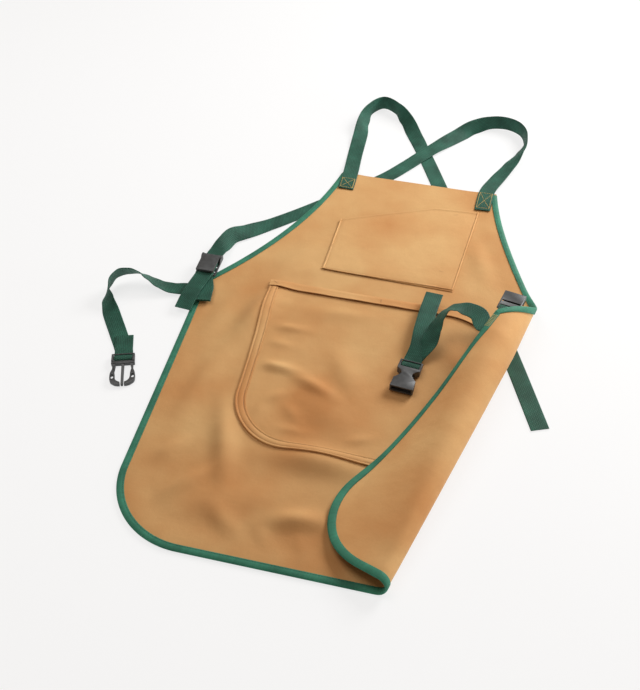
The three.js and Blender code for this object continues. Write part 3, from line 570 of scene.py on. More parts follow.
def bed_height(x, y):
    """How high the back of the open cloth lies above the floor."""
    on_straps = STRAP_LIFT * smoothstep(y + STRAP_SLANT * np.maximum(x, 0), *STRAP_ZONE)
    rim = rim_distance(SKIRT, half_width(y), x, y)
    on_binding = RIM_RISE * (1 - smoothstep(rim, *RIM_ZONE))
    return on_straps + on_binding + hills(x, y, RIPPLES) * smoothstep(rim, *RIPPLE_ZONE)


def from_fold(x, y):
    """How far points of the dragged cut lie beyond the fold, and where along it."""
    beyond = x * FOLD_OUT[0] + y * FOLD_OUT[1] - FOLD_OFFSET
    return beyond, x * FOLD_ALONG[0] + y * FOLD_ALONG[1]


def roll_at(along):
    """The roll's radius and how far it turns past level, along the fold."""
    w = np.clip((along - ROLL_FROM) / ROLL_LENGTH, 0, 1)
    radius = ROLL_HEM * (1 - w) * (1 - 2 * w) + 4 * ROLL_MIDDLE * w * (1 - w) + ROLL_HIP * w * (2 * w - 1)
    return radius, ROLL_DROOP * w


def folded(x, y, height):
    """Places of points of the dragged cut, a height above the back of the cloth."""
    beyond, along = from_fold(x, y)
    radius, droop = roll_at(along)
    rolled = np.maximum(beyond, 0)
    foot_x = x - FOLD_OUT[0] * rolled
    foot_y = y - FOLD_OUT[1] * rolled
    bed = bed_height(*unskewed(foot_x, foot_y))
    turn = np.clip(beyond / radius, 0, np.pi + droop)
    rest = np.maximum(beyond - radius * (np.pi + droop), 0)
    top = radius * (1 - np.cos(turn))
    slope = np.maximum(np.sin(droop), LEAST_SLOPE)
    sloping = np.minimum(rest, np.maximum((top - FLAP_REST) / slope, 0))
    lying = rest - sloping
    out = radius * np.sin(turn) - sloping * np.cos(droop) - lying
    up = top - sloping * np.sin(droop)
    facing = np.where(lying > 0, np.pi, turn)
    shift = out - np.sin(facing) * height
    rise = bed + up + np.cos(facing) * height
    return np.stack([foot_x + FOLD_OUT[0] * shift, foot_y + FOLD_OUT[1] * shift, rise], -1)


def drape(x, y, height):
    """The place of pattern points, a height above the back of the cloth, in millimetres."""
    x, y, height = np.broadcast_arrays(*(np.asarray(value, float) for value in (x, y, height)))
    flat_x, flat_y = skewed(x, y)
    radius, _ = roll_at(from_fold(flat_x, flat_y)[1])
    reach = np.minimum(ROLL_EASE, radius * ROLL_EASE_SHARE)
    places = 0
    for share in EASE_SHARES:
        ease_x = flat_x + FOLD_OUT[0] * reach * share
        ease_y = flat_y + FOLD_OUT[1] * reach * share
        places = places + folded(ease_x, ease_y, height)
    return places / len(EASE_SHARES)


def facing_at(x, y, height):
    """Which way the cloth's front faces at pattern points."""
    return unit(drape(x, y, np.asarray(height) + 0.5) - drape(x, y, np.asarray(height) - 0.5))


# Making pieces


def deselect():
    """Nothing selected, in object mode."""
    if bpy.context.object and bpy.context.object.mode != "OBJECT":
        bpy.ops.object.mode_set(mode="OBJECT")
    bpy.ops.object.select_all(action="DESELECT")


def new_piece(name, mesh):
    """A new object of a mesh, selected and active."""
    deselect()
    piece = bpy.data.objects.new(name, mesh)
    bpy.context.scene.collection.objects.link(piece)
    piece.select_set(True)
    bpy.context.view_layer.objects.active = piece
    return piece


def edit_all(change, **settings):
    """Runs one mesh operator on all of the active piece."""
    bpy.ops.object.mode_set(mode="EDIT")
    bpy.ops.mesh.select_all(action="SELECT")
    change(**settings)
    bpy.ops.object.mode_set(mode="OBJECT")


def grid(name, columns, rows):
    """A new grid, and where each of its points stands across and along, from 0 to 1."""
    deselect()
    bpy.ops.mesh.primitive_grid_add(x_subdivisions=columns, y_subdivisions=rows, size=2)
    piece = bpy.context.object
    piece.name = name
    piece.data.name = name
    spots = np.empty(len(piece.data.vertices) * 3)
    piece.data.vertices.foreach_get("co", spots)
    spots = (spots.reshape(-1, 3) + 1) / 2
    return piece, spots[:, 0], spots[:, 1]


def grid_heights(cut, top, down, straight):
    """Heights of a grid's rows: a share of them down a cut's straight sides, the rest round its corners."""
    corner_y = cut.bottom + cut.corner
    turn = np.clip((down - straight) / (1 - straight), 0, 1) * math.pi / 2
    side_y = top + (corner_y - top) * down / straight
    return np.where(down < straight, side_y, corner_y - cut.corner * np.sin(turn))


def lay(piece, places, flat):
    """Moves a grid's points to places and keeps their flat cut as its UV map."""
    piece.data.vertices.foreach_set("co", ((places + PATTERN_ORIGIN) * MM).ravel())
    corners = np.empty(len(piece.data.loops), int)
    piece.data.loops.foreach_get("vertex_index", corners)
    cut = piece.data.uv_layers[0]
    cut.name = "flat"
    cut.data.foreach_set("uv", (flat[corners] * MM).astype(np.float32).ravel())
    piece.data.update()


def thicken(piece, thickness, back=None):
    """Gives a laid sheet its thickness, behind its front, and its back another material if asked."""
    bpy.ops.object.modifier_add(type="SOLIDIFY")
    solidify = piece.modifiers[-1]
    solidify.thickness = thickness
    solidify.offset = -1
    if back:
        piece.data.materials.append(None)
        piece.data.materials.append(back)
        solidify.material_offset = 1
    solidify.use_quality_normals = True
    bpy.ops.object.modifier_apply(modifier=solidify.name)
    bpy.ops.object.shade_smooth_by_angle(angle=CLOTH_SHARP)


def close_strip():
    """Joins the active strip's long seam, closes its two ends and turns its faces outwards."""
    edit_all(bpy.ops.mesh.remove_doubles, threshold=WELD)
    bpy.ops.object.mode_set(mode="EDIT")
    bpy.ops.mesh.select_all(action="DESELECT")
    bpy.ops.mesh.select_non_manifold()
    bpy.ops.mesh.edge_face_add()
    bpy.ops.object.mode_set(mode="OBJECT")
    edit_all(bpy.ops.mesh.normals_make_consistent, inside=False)
    bpy.ops.object.shade_smooth_by_angle(angle=STRIP_SHARP)


def swept(name, rings, along):
    """A closed strip through rings of points, all with the same section."""
    count, points = rings.shape[:2]
    piece, across, run = grid(name, points, count - 1)
    column = np.rint(across * points).astype(int)
    row = np.rint(run * (count - 1)).astype(int)
    around = np.linalg.norm(np.diff(rings, axis=1, append=rings[:, :1]), axis=2).mean(0)
    around = np.concatenate([[0], np.cumsum(around)])
    lay(piece, rings[row, column % points], np.stack([around[column], along[row]], -1))
    close_strip()
    return piece


def finish_piece(piece, material, slot, *nodes, body="root"):
    """Gives a piece its material and its place in the frame."""
    if piece.data.materials:
        piece.data.materials[0] = material
    else:
        piece.data.materials.append(material)
    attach(piece, body)
    if nodes:
        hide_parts(*nodes)


def walked_along(points):
    """The distance walked along a line at each of its points."""
    return np.concatenate([[0], np.cumsum(np.linalg.norm(np.diff(points, axis=0), axis=1))])


def at_distance(distance, walked, line):
    """What a line's rows are at distances along it."""
    return np.stack([np.interp(distance, walked, column) for column in line.T], -1)


def evenly(points, step):
    """A line of points walked in even steps, and the distance of each."""
    points = np.asarray(points, float)
    walked = walked_along(points)
    distance = np.linspace(0, walked[-1], max(2, int(math.ceil(walked[-1] / step)) + 1))
    return at_distance(distance, walked, points), distance


def inwards(line, middle):
    """The unit direction from each point of a pattern line towards the cloth's middle."""
    run = np.gradient(line, axis=0)
    side = unit(np.stack([-run[:, 1], run[:, 0]], -1))
    towards = ((np.asarray(middle) - line) * side).sum(1)
    return side * np.sign(np.median(towards))


def beside(line, middle, section):
    """Pattern points where a section stands inwards of each point of a line."""
    spots = line[:, None] + inwards(line, middle)[:, None] * section[None, :, :1]
    return spots[..., 0], spots[..., 1]


def arc(centre, radius, start, end):
    """Points of a circle's arc, angles in degrees."""
    turn = np.radians(np.linspace(start, end, ARC_POINTS))
    return np.stack([centre[0] + radius * np.cos(turn), centre[1] + radius * np.sin(turn)], -1)


def armhole_line(side):
    """The armhole's edge from the bib's corner to the hip, side -1 or 1."""
    x, y = armhole_at(np.linspace(BOUND_FROM, 1, ARMHOLE_POINTS))
    return np.stack([side * x, y], -1)


def edge_line(cut):
    """A cut's edge from its left top corner down, round and up to its right one."""
    x, y = cut.low_half - cut.corner, cut.bottom + cut.corner
    left = arc((-x, y), cut.corner, 180, 270)
    right = arc((x, y), cut.corner, 270, 360)
    return np.concatenate([[(-cut.top_half, cut.top)], left, right, [(cut.top_half, cut.top)]])


def on_roll(x, y):
    """How much more a pocket stands off the panel where the panel begins to roll."""
    beyond, _ = from_fold(*skewed(x, y))
    return CURL_GAP * smoothstep(beyond, *CURL_ZONE)


def skirt_pocket_front(x, y, sizes):
    """The height of the skirt pocket's front: down on the panel along its seams, puffed between."""
    y = np.minimum(y, POCKET.top)
    rim = rim_distance(POCKET, cut_half(POCKET, y), x, y)
    puff = hills(x, y, POCKET_PUFFS) * smoothstep(rim, *PUFF_RIM_ZONE) * smoothstep(-y, *PUFF_MOUTH_ZONE)
    back = sizes.canvas / MM + POCKET_SEWN + rises(rim, POCKET_RISES) + on_roll(x, y) + puff
    return back + sizes.pocket_cloth / MM


def bib_pocket_front(x, y, sizes):
    """The height of the bib pocket's front above the back of the panel."""
    right = BIB_RIGHT + (y - BIB_RIGHT_AT) * BIB_RIGHT_SLOPE
    rim = np.minimum(np.minimum(x - BIB_LEFT, right - x), y - BIB_LOW)
    back = sizes.canvas / MM + BIB_SEWN + rises(rim, BIB_RISES) + on_roll(x, y)
    return back + sizes.pocket_cloth / MM


# Straps


def buckle_frame(place, turn):
    """Where a buckle's own frame stands: yaw, then pitch, then roll."""
    pitch, roll, yaw = turn
    turned = Matrix.Rotation(yaw, 4, "Z") @ Matrix.Rotation(pitch, 4, "X") @ Matrix.Rotation(roll, 4, "Y")
    return Matrix.Translation(Vector(place)) @ turned


def strap_rows(place, turn, places):
    """Places in a buckle's own frame, as strap rows."""
    stand = buckle_frame(place, turn)
    rows = []
    for along, above in places:
        spot = stand @ Vector((0, along, above))
        rows.append((spot.x, spot.y, spot.z, 0))
    return rows


def rows_on_panel(points, height):
    """Strap rows on the panel's front, at a height above its back, leaning as the panel does."""
    points = np.asarray(points, float)
    run = unit(points[-1] - points[0])
    aside = np.array([run[1], -run[0]]) * WEB_WIDTH / 2
    rows = []
    for point in points:
        place = drape(*point, height)
        ahead = drape(*(point + run), height) - place
        across = drape(*(point + aside), height) - drape(*(point - aside), height)
        level = unit(np.array([ahead[1], -ahead[0], 0]))
        tilt = math.atan2(across[2], across @ level)
        if abs(tilt) > math.pi / 2:
            tilt = tilt - math.copysign(math.pi, tilt)
        rows.append((*place, math.degrees(tilt)))
    return rows


def strap_line(rows):
    """Places along a strap, with the directions across and through it, and the distance walked."""
    rows = np.asarray(rows, float)
    spots = rows[:, :3]
    padded = np.concatenate([[2 * spots[0] - spots[1]], spots, [2 * spots[-1] - spots[-2]]])
    knots = np.sqrt(np.linalg.norm(np.diff(padded, axis=0), axis=1))
    centres, runs, leans = [], [], []
    last = len(spots) - 2
    for span in range(len(spots) - 1):
        p0, p1, p2, p3 = padded[span : span + 4]
        d0, d1, d2 = knots[span : span + 3]
        t1 = ((p1 - p0) / d0 - (p2 - p0) / (d0 + d1) + (p2 - p1) / d1) * d1
        t2 = ((p2 - p1) / d1 - (p3 - p1) / (d1 + d2) + (p3 - p2) / d2) * d1
        steps = max(3, int(math.ceil(np.linalg.norm(p2 - p1) / WEB_STEP)))
        t = np.linspace(0, 1, steps, endpoint=False)
        if span == last:
            t = np.linspace(0, 1, steps + 1)
        t = t[:, None]
        square = -3 * p1 + 3 * p2 - 2 * t1 - t2
        cube = 2 * p1 - 2 * p2 + t1 + t2
        centres.append(p1 + t1 * t + square * t**2 + cube * t**3)
        runs.append(t1 + 2 * square * t + 3 * cube * t**2)
        leans.append(rows[span, 3] + (rows[span + 1, 3] - rows[span, 3]) * smoothstep(t[:, 0], 0, 1))
    centres, runs, leans = (np.concatenate(part) for part in (centres, runs, leans))
    runs = unit(runs)
    across, through = np.empty_like(runs), np.empty_like(runs)
    side = None
    for i, run in enumerate(runs):
        level = np.array([run[1], -run[0], 0])
        if np.linalg.norm(level) < WEB_UPRIGHT:
            level = side
        level = unit(level - run * (level @ run))
        if side is not None and level @ side < 0:
            level = -level
        side = level
        above = np.cross(level, run)
        lean = math.radians(leans[i])
        across[i] = level * math.cos(lean) + above * math.sin(lean)
        through[i] = above * math.cos(lean) - level * math.sin(lean)
    return centres, across, through, walked_along(centres)


def web_section():
    """The webbing's section: across and through, with soft selvedges."""
    half = WEB_WIDTH / 2
    left = [(x - half, z) for x, z in WEB_EDGE] + [(-half / 2, WEB_BELLY)]
    right = [(-x, z) for x, z in reversed(left)]
    upper = np.array([*left, (0, WEB_BELLY), *right])
    lower = upper[-2:0:-1] * (1, -1)
    return np.concatenate([upper, lower]) * (1, WEB / 2)


def strap(name, rows, material, node):
    """A webbing strap along rows, kept above the floor."""
    centres, across, through, walked = strap_line(rows)
    section = web_section()
    rings = (
        centres[:, None]
        + across[:, None] * section[None, :, :1]
        + through[:, None] * section[None, :, 1:]
    )
    rings[..., 2] += np.maximum(0, -rings[..., 2].min(1))[:, None]
    finish_piece(swept(name, rings, walked), material, "webbing", node)


def on_strap(rows, spots):
    """Places and facings of spots on a strap's front, given along and across it."""
    *lines, walked = strap_line(rows)
    place, across, through = (at_distance(spots[:, 0], walked, line) for line in lines)
    return place + across * spots[:, 1:] + through * (WEB / 2), through


# Stitches


def stitch_shape():
    """The points and faces of one stitch, unit sized."""
    deselect()
    bpy.ops.mesh.primitive_uv_sphere_add(segments=6, ring_count=5, radius=1, rotation=(0, math.pi / 2, 0))
    bpy.ops.object.transform_apply(location=False, rotation=True, scale=False)
    one = bpy.context.object
    points = np.array([vertex.co[:] for vertex in one.data.vertices])
    faces = [tuple(face.vertices) for face in one.data.polygons]
    bpy.data.objects.remove(one)
    return points, faces


def stitches(name, seams, material, pitch, width, slot):
    """One piece of all the stitches along seams, each a line of places with its facings."""
    points, faces = stitch_shape()
    made = []
    for places, facings in seams:
        walked = walked_along(places)
        count = max(1, int(walked[-1] / pitch))
        middles = (np.arange(count) + 0.5) * walked[-1] / count
        half = pitch * STITCH_HALF
        ahead = at_distance(middles + half, walked, places)
        run = unit(ahead - at_distance(middles - half, walked, places))
        side = unit(np.cross(at_distance(middles, walked, facings), run))
        up = np.cross(run, side)
        centre = at_distance(middles, walked, places) + up * width * STITCH_LIFT
        axes = np.stack([run * half, side * width / 2, up * width * STITCH_TALL], 1)
        made.append(centre[:, None] + np.einsum("pk,skc->spc", points, axes))
    spots = np.concatenate(made)
    shift = np.arange(len(spots)) * len(points)
    all_faces = [tuple(int(first) + k for k in face) for first in shift for face in faces]
    mesh = bpy.data.meshes.new(name)
    mesh.from_pydata(((spots.reshape(-1, 3) + PATTERN_ORIGIN) * MM).tolist(), [], all_faces)
    piece = new_piece(name, mesh)
    bpy.ops.object.shade_smooth()
    finish_piece(piece, material, slot)


def cloth_seam(line, rise, front=None, sizes=None):
    """A seam along pattern points, a rise above the panel's back or above a pocket's front."""
    x, y = evenly(line, SEAM_STEP)[0].T
    tall = front(x, y, sizes) + rise if front else rise
    return drape(x, y, tall), facing_at(x, y, tall)


# Materials


def scaled(colour, share, lift=0.0):
    """A colour made darker or lighter."""
    return tuple(min(1, part * share + lift) for part in colour)


class Paint:
    """A material's node tree, with short ways to add nodes and wire them."""

    def __init__(self, name):
        self.material = bpy.data.materials.new(name)
        self.material.use_nodes = True
        self.tree = self.material.node_tree
        self.shader = self.tree.nodes["Principled BSDF"]

    def add(self, kind, **settings):
        """A new node with its settings."""
        node = self.tree.nodes.new(kind)
        for name, value in settings.items():
            setattr(node, name, value)
        return node

    def put(self, socket, value):
        """Wires a socket, or sets its value."""
        if isinstance(value, bpy.types.NodeSocket):
            self.tree.links.new(value, socket)
        else:
            socket.default_value = value

    def sum(self, operation, *values):
        """A Math node's result."""
        node = self.add("ShaderNodeMath", operation=operation)
        for socket, value in zip(node.inputs, values):
            self.put(socket, value)
        return node.outputs[0]

    def set(self, **values):
        """Constant values or wires on the shader's own sockets."""
        for name, value in values.items():
            self.put(self.shader.inputs[name.replace("_", " ")], value)

    def flat(self):
        """The two flat directions of the piece's own cut, in metres."""
        cut = self.add("ShaderNodeUVMap", uv_map="flat")
        split = self.add("ShaderNodeSeparateXYZ")
        self.put(split.inputs[0], cut.outputs[0])
        return cut.outputs[0], split.outputs[0], split.outputs[1]

    def spot(self):
        """The place of a point in its own object, in metres."""
        return self.add("ShaderNodeTexCoord").outputs["Object"]

    def waves(self, value, pitch):
        """A sine wave that repeats after each pitch of a value."""
        return self.sum("SINE", self.sum("MULTIPLY", value, 2 * math.pi / pitch))

    def noise(self, vector, scale, detail, stretch=None, seed=None):
        """A soft noise from 0 to 1, stretched or of its own seed if asked."""
        if stretch:
            mapping = self.add("ShaderNodeMapping")
            mapping.inputs["Scale"].default_value = stretch
            self.put(mapping.inputs[0], vector)
            vector = mapping.outputs[0]
        node = self.add("ShaderNodeTexNoise")
        if seed is not None:
            node.noise_dimensions = "4D"
            node.inputs["W"].default_value = seed
        self.put(node.inputs["Vector"], vector)
        node.inputs["Scale"].default_value = scale
        node.inputs["Detail"].default_value = detail
        return node.outputs[0]

    def ramp(self, value, low, high, first, second):
        """A colour between two, as a value goes from low to high."""
        node = self.add("ShaderNodeValToRGB")
        node.color_ramp.elements[0].position = low
        node.color_ramp.elements[0].color = (*first, 1)
        node.color_ramp.elements[1].position = high
        node.color_ramp.elements[1].color = (*second, 1)
        self.put(node.inputs[0], value)
        return node.outputs[0]

    def shade(self, colour, value, low, high):
        """A colour multiplied by a grey that goes from low to high over a value's middle half."""
        grey = self.ramp(value, 0.25, 0.75, (low,) * 3, (high,) * 3)
        node = self.add("ShaderNodeMix", data_type="RGBA", blend_type="MULTIPLY")
        node.inputs[0].default_value = 1
        self.put(node.inputs[6], colour)
        self.put(node.inputs[7], grey)
        return node.outputs[2]

    def between(self, value, low, high):
        """A value from 0 to 1 spread from low to high."""
        node = self.add("ShaderNodeMapRange")
        self.put(node.inputs[0], value)
        node.inputs[3].default_value = low
        node.inputs[4].default_value = high
        return node.outputs[0]

    def bump(self, height, strength, distance, normal=None):
        """A bumped normal."""
        node = self.add("ShaderNodeBump")
        node.inputs["Strength"].default_value = strength
        node.inputs["Distance"].default_value = distance
        self.put(node.inputs["Height"], height)
        if normal:
            self.put(node.inputs["Normal"], normal)
        return node.outputs[0]


def canvas_cloth(name, gold, rose, weave):
    """Plain woven canvas: crossing yarns, slubs, and a drift between golden and brown."""
    paint = Paint(name)
    cut, across, along = paint.flat()
    yarns = paint.sum("MULTIPLY", paint.waves(across, weave), paint.waves(along, weave))
    warp = paint.noise(cut, scale=1, detail=3, stretch=(900, 60, 1))
    weft = paint.noise(cut, scale=1, detail=3, stretch=(60, 900, 1))
    slub = paint.sum("MULTIPLY", paint.sum("ADD", warp, weft), 0.5)
    drift = paint.noise(cut, scale=7, detail=3, seed=DRIFT_SEED)
    fuzz = paint.noise(cut, scale=2600, detail=2)
    colour = paint.ramp(drift, 0.36, 0.68, gold, rose)
    colour = paint.shade(colour, slub, 0.965, 1.03)
    # Painted shade and light: the colour dips a little where the yarns sink and lifts where they cross over
    colour = paint.shade(colour, paint.sum("MULTIPLY_ADD", yarns, 0.5, 0.5), 0.95, 1.03)
    height = paint.sum("ADD", paint.sum("MULTIPLY", yarns, 0.5), paint.sum("ADD", slub, fuzz))
    crease = paint.noise(cut, scale=34, detail=4)
    normal = paint.bump(crease, strength=0.2, distance=0.005)
    normal = paint.bump(height, strength=0.3, distance=0.00022, normal=normal)
    paint.set(Base_Color=colour, Roughness=paint.between(slub, 0.66, 0.88), Normal=normal)
    paint.set(Sheen_Weight=0.16, Sheen_Roughness=0.3, Sheen_Tint=(1.0, 0.9, 0.7, 1))
    paint.set(Specular_IOR_Level=0.25)
    return paint.material


def bias_binding(name, colour, weave):
    """Smooth bias tape: a fine diagonal weave with a little pucker."""
    paint = Paint(name)
    cut, across, along = paint.flat()
    one = paint.waves(paint.sum("ADD", across, along), weave)
    two = paint.waves(paint.sum("SUBTRACT", across, along), weave)
    yarns = paint.sum("MULTIPLY", one, two)
    pucker = paint.noise(cut, scale=1, detail=2, stretch=(60, 240, 1))
    drift = paint.noise(cut, scale=22, detail=2)
    tint = paint.ramp(drift, 0.34, 0.7, scaled(colour, 0.74), scaled(colour, 1.18, 0.004))
    # Painted shade and light: the tape is darker in the hollows of its pucker and lighter on its crests
    tint = paint.shade(tint, pucker, 0.86, 1.1)
    normal = paint.bump(pucker, strength=0.35, distance=0.0012)
    normal = paint.bump(yarns, strength=0.25, distance=0.00012, normal=normal)
    paint.set(Base_Color=tint, Roughness=paint.between(pucker, 0.5, 0.68), Normal=normal)
    paint.set(Sheen_Weight=0.05, Sheen_Roughness=0.35, Sheen_Tint=(0.5, 1.0, 0.8, 1))
    paint.set(Specular_IOR_Level=0.25)
    return paint.material


def ribbed_webbing(name, colour, rib):
    """Woven webbing: columns of floats that step by half a rib from one to the next."""
    paint = Paint(name)
    cut, across, along = paint.flat()
    column = paint.sum("DIVIDE", across, rib)
    step = paint.sum("MULTIPLY", paint.sum("MODULO", paint.sum("FLOOR", column), 2.0), 0.5)
    place = paint.sum("ADD", paint.sum("DIVIDE", along, rib), step)
    float_rise = paint.sum("ABSOLUTE", paint.waves(place, 2))
    rounded = paint.sum("ABSOLUTE", paint.waves(column, 2))
    rise = paint.sum("MULTIPLY", float_rise, paint.sum("POWER", rounded, 0.5))
    fibre = paint.noise(cut, scale=1, detail=3, stretch=(2600, 320, 1))
    drift = paint.noise(cut, scale=30, detail=2)
    tint = paint.ramp(drift, 0.34, 0.7, scaled(colour, 0.72), scaled(colour, 1.3, 0.003))
    # Painted shade and light: the webbing darkens between its floats and lightens on their crowns
    tint = paint.shade(tint, rise, 0.5, 1.25)
    tint = paint.shade(tint, fibre, 0.88, 1.1)
    height = paint.sum("ADD", rise, paint.sum("MULTIPLY", fibre, 0.25))
    paint.set(Base_Color=tint, Roughness=paint.between(fibre, 0.46, 0.66))
    paint.set(Normal=paint.bump(height, strength=0.7, distance=0.0005))
    paint.set(Sheen_Weight=0.08, Sheen_Roughness=0.4, Sheen_Tint=(0.8, 1.0, 0.9, 1))
    paint.set(Specular_IOR_Level=0.22)
    return paint.material


def sewing_thread(name, colour):
    """Twisted thread."""
    paint = Paint(name)
    twist = paint.noise(paint.spot(), scale=1400, detail=2)
    tint = paint.ramp(twist, 0.35, 0.65, scaled(colour, 0.75), scaled(colour, 1.2))
    normal = paint.bump(twist, strength=0.4, distance=0.0002)
    paint.set(Base_Color=tint, Roughness=paint.between(twist, 0.42, 0.62), Normal=normal)
    paint.set(Sheen_Weight=0.2, Sheen_Roughness=0.35)
    return paint.material


def moulded_plastic(name, colour):
    """Black moulded plastic: a fine spark-eroded skin, a little scuffed."""
    paint = Paint(name)
    spot = paint.spot()
    grain = paint.noise(spot, scale=2400, detail=2)
    scuff = paint.noise(spot, scale=160, detail=4)
    tint = paint.ramp(scuff, 0.4, 0.75, colour, scaled(colour, 1.4, 0.003))
    normal = paint.bump(grain, strength=0.08, distance=0.00015)
    paint.set(Base_Color=tint, Roughness=paint.between(scuff, 0.36, 0.5), Normal=normal)
    paint.set(Specular_IOR_Level=0.55)
    return paint.material


def studio_floor(name, colour):
    """A pale seamless floor, lit through from below as on a light table."""
    paint = Paint(name)
    drift = paint.noise(paint.spot(), scale=1.3, detail=2)
    paint.set(Base_Color=paint.ramp(drift, 0.3, 0.7, colour, scaled(colour, 1.01)))
    paint.set(Roughness=paint.between(drift, 0.7, 0.8), Specular_IOR_Level=0.1)
    paint.set(Emission_Color=(1, 1, 1, 1), Emission_Strength=FLOOR_GLOW)
    return paint.material


def made_material(name, make, *values):
    """A material by its name, made the first time it is asked for."""
    return bpy.data.materials.get(name) or make(name, *values)


def pocket_canvas(scene):
    """The pockets' canvas, a little paler than the panel's."""
    colours = scene.apron_colours
    gold, rose = (scaled(tint, POCKET_PALER) for tint in (colours.canvas_gold, colours.canvas_rose))
    return made_material("pocket_canvas", canvas_cloth, gold, rose, scene.apron_sizes.weave)


# Pieces, one operator for each group


class APRON_OT_canvas_panel(bpy.types.Operator):
    """Lays the canvas panel with its ripples and its curled side."""

    bl_idname = "apron.canvas_panel"
    bl_label = "Canvas panel"

    def execute(self, context):
        sizes, colours = context.scene.apron_sizes, context.scene.apron_colours
        piece, across, along = grid("apron_canvas", *PANEL_GRID)
        y = grid_heights(SKIRT, 0, 1 - along, PANEL_STRAIGHT)
        x = np.interp(across, *PANEL_COLUMNS) * half_width(y)
        lay(piece, drape(x, y, sizes.canvas / MM), np.stack([x, y], -1))
        gold, rose = colours.canvas_gold[:], colours.canvas_rose[:]
        # The back's paler copy of the canvas is painted light: it lifts the curled flap, which lies in shade
        pale = (scaled(tint, BACK_PAINTED_LIFT) for tint in (gold, rose))
        cloth = made_material("tan_canvas", canvas_cloth, gold, rose, sizes.weave)
        back = made_material("tan_canvas_back", canvas_cloth, *pale, sizes.weave)
        thicken(piece, sizes.canvas, back)
        finish_piece(piece, cloth, "canvas", "canvas_panel")
        return {"FINISHED"}


class APRON_OT_bindings(bpy.types.Operator):
    """Folds the green binding round the armholes, the sides and the hem."""

    bl_idname = "apron.bindings"
    bl_label = "Bindings"

    def execute(self, context):
        sizes, colours = context.scene.apron_sizes, context.scene.apron_colours
        tape = made_material("green_binding", bias_binding, colours.binding[:], BINDING_WEAVE)
        canvas, wide, ply = sizes.canvas / MM, sizes.binding_width / MM, sizes.binding_ply / MM
        top = canvas + BINDING_ROOM + ply
        low = -BINDING_ROOM - ply
        # Round the folded tape: in from the panel's edge, and above the panel's back
        section = np.array([
            (wide, top - 0.3),
            (wide - 0.35, top),
            (wide - 1.7, top - 0.14),
            (wide - 3.2, top + 0.3),
            (wide * 0.42, top + 0.45),
            (1.6, top),
            (0.3, top - 0.45),
            (-0.6, top - 1.1),
            (-0.95, canvas / 2),
            (-0.6, low + 1.1),
            (0.3, low + 0.45),
            (1.6, low),
            (wide * 0.5, low - 0.05),
            (wide - 0.35, low),
            (wide, low + 0.3),
            (wide, -BINDING_ROOM),
            (BINDING_ROOM, -BINDING_ROOM),
            (BINDING_ROOM, canvas + BINDING_ROOM),
            (wide, canvas + BINDING_ROOM),
        ])
        runs = (
            ("binding_armhole_left", armhole_line(-1), BINDING_LAP, "armhole_binding_left"),
            ("binding_armhole_right", armhole_line(1), BINDING_LAP, "armhole_binding_right"),
            ("binding_skirt", edge_line(SKIRT), 0, "skirt_binding"),
        )
        for name, line, lap, node in runs:
            even, walked = evenly(line, BINDING_STEP)
            lapped = section[:, 1] + lap * np.sign(section[:, 1] - canvas / 2)
            rings = drape(*beside(even, PANEL_MIDDLE, section), lapped)
            finish_piece(swept(name, rings, walked), tape, "binding", node)
        return {"FINISHED"}


class APRON_OT_bib_pocket(bpy.types.Operator):
    """Lays the bib pocket with its slanted mouth."""

    bl_idname = "apron.bib_pocket"
    bl_label = "Bib pocket"

    def execute(self, context):
        sizes = context.scene.apron_sizes
        near = np.array(BIB_EDGE_SHARES)
        share = np.concatenate([near, np.linspace(*BIB_PLAIN_SHARES), 1 - near[::-1]])
        last = len(share) - 1
        piece, across, along = grid("bib_pocket_cloth", last, last)
        across = share[np.rint(across * last).astype(int)]
        along = share[np.rint(along * last).astype(int)]
        top, bottom = np.array(BIB_TOP, float), np.array(BIB_BOTTOM, float)
        top_x = top[0, 0] + (top[-1, 0] - top[0, 0]) * across
        top_y = np.interp(top_x, top[:, 0], top[:, 1])
        bottom_x = bottom[0, 0] + (bottom[1, 0] - bottom[0, 0]) * across
        bottom_y = bottom[0, 1] + (bottom[1, 1] - bottom[0, 1]) * across
        x = bottom_x + (top_x - bottom_x) * along
        y = bottom_y + (top_y - bottom_y) * along
        height = bib_pocket_front(x, y, sizes) + rises(top_y - y, BIB_MOUTH_RISES)
        lay(piece, drape(x, y, height), np.stack([x, y], -1))
        thicken(piece, sizes.pocket_cloth)
        finish_piece(piece, pocket_canvas(context.scene), "canvas", "bib_pocket")
        return {"FINISHED"}


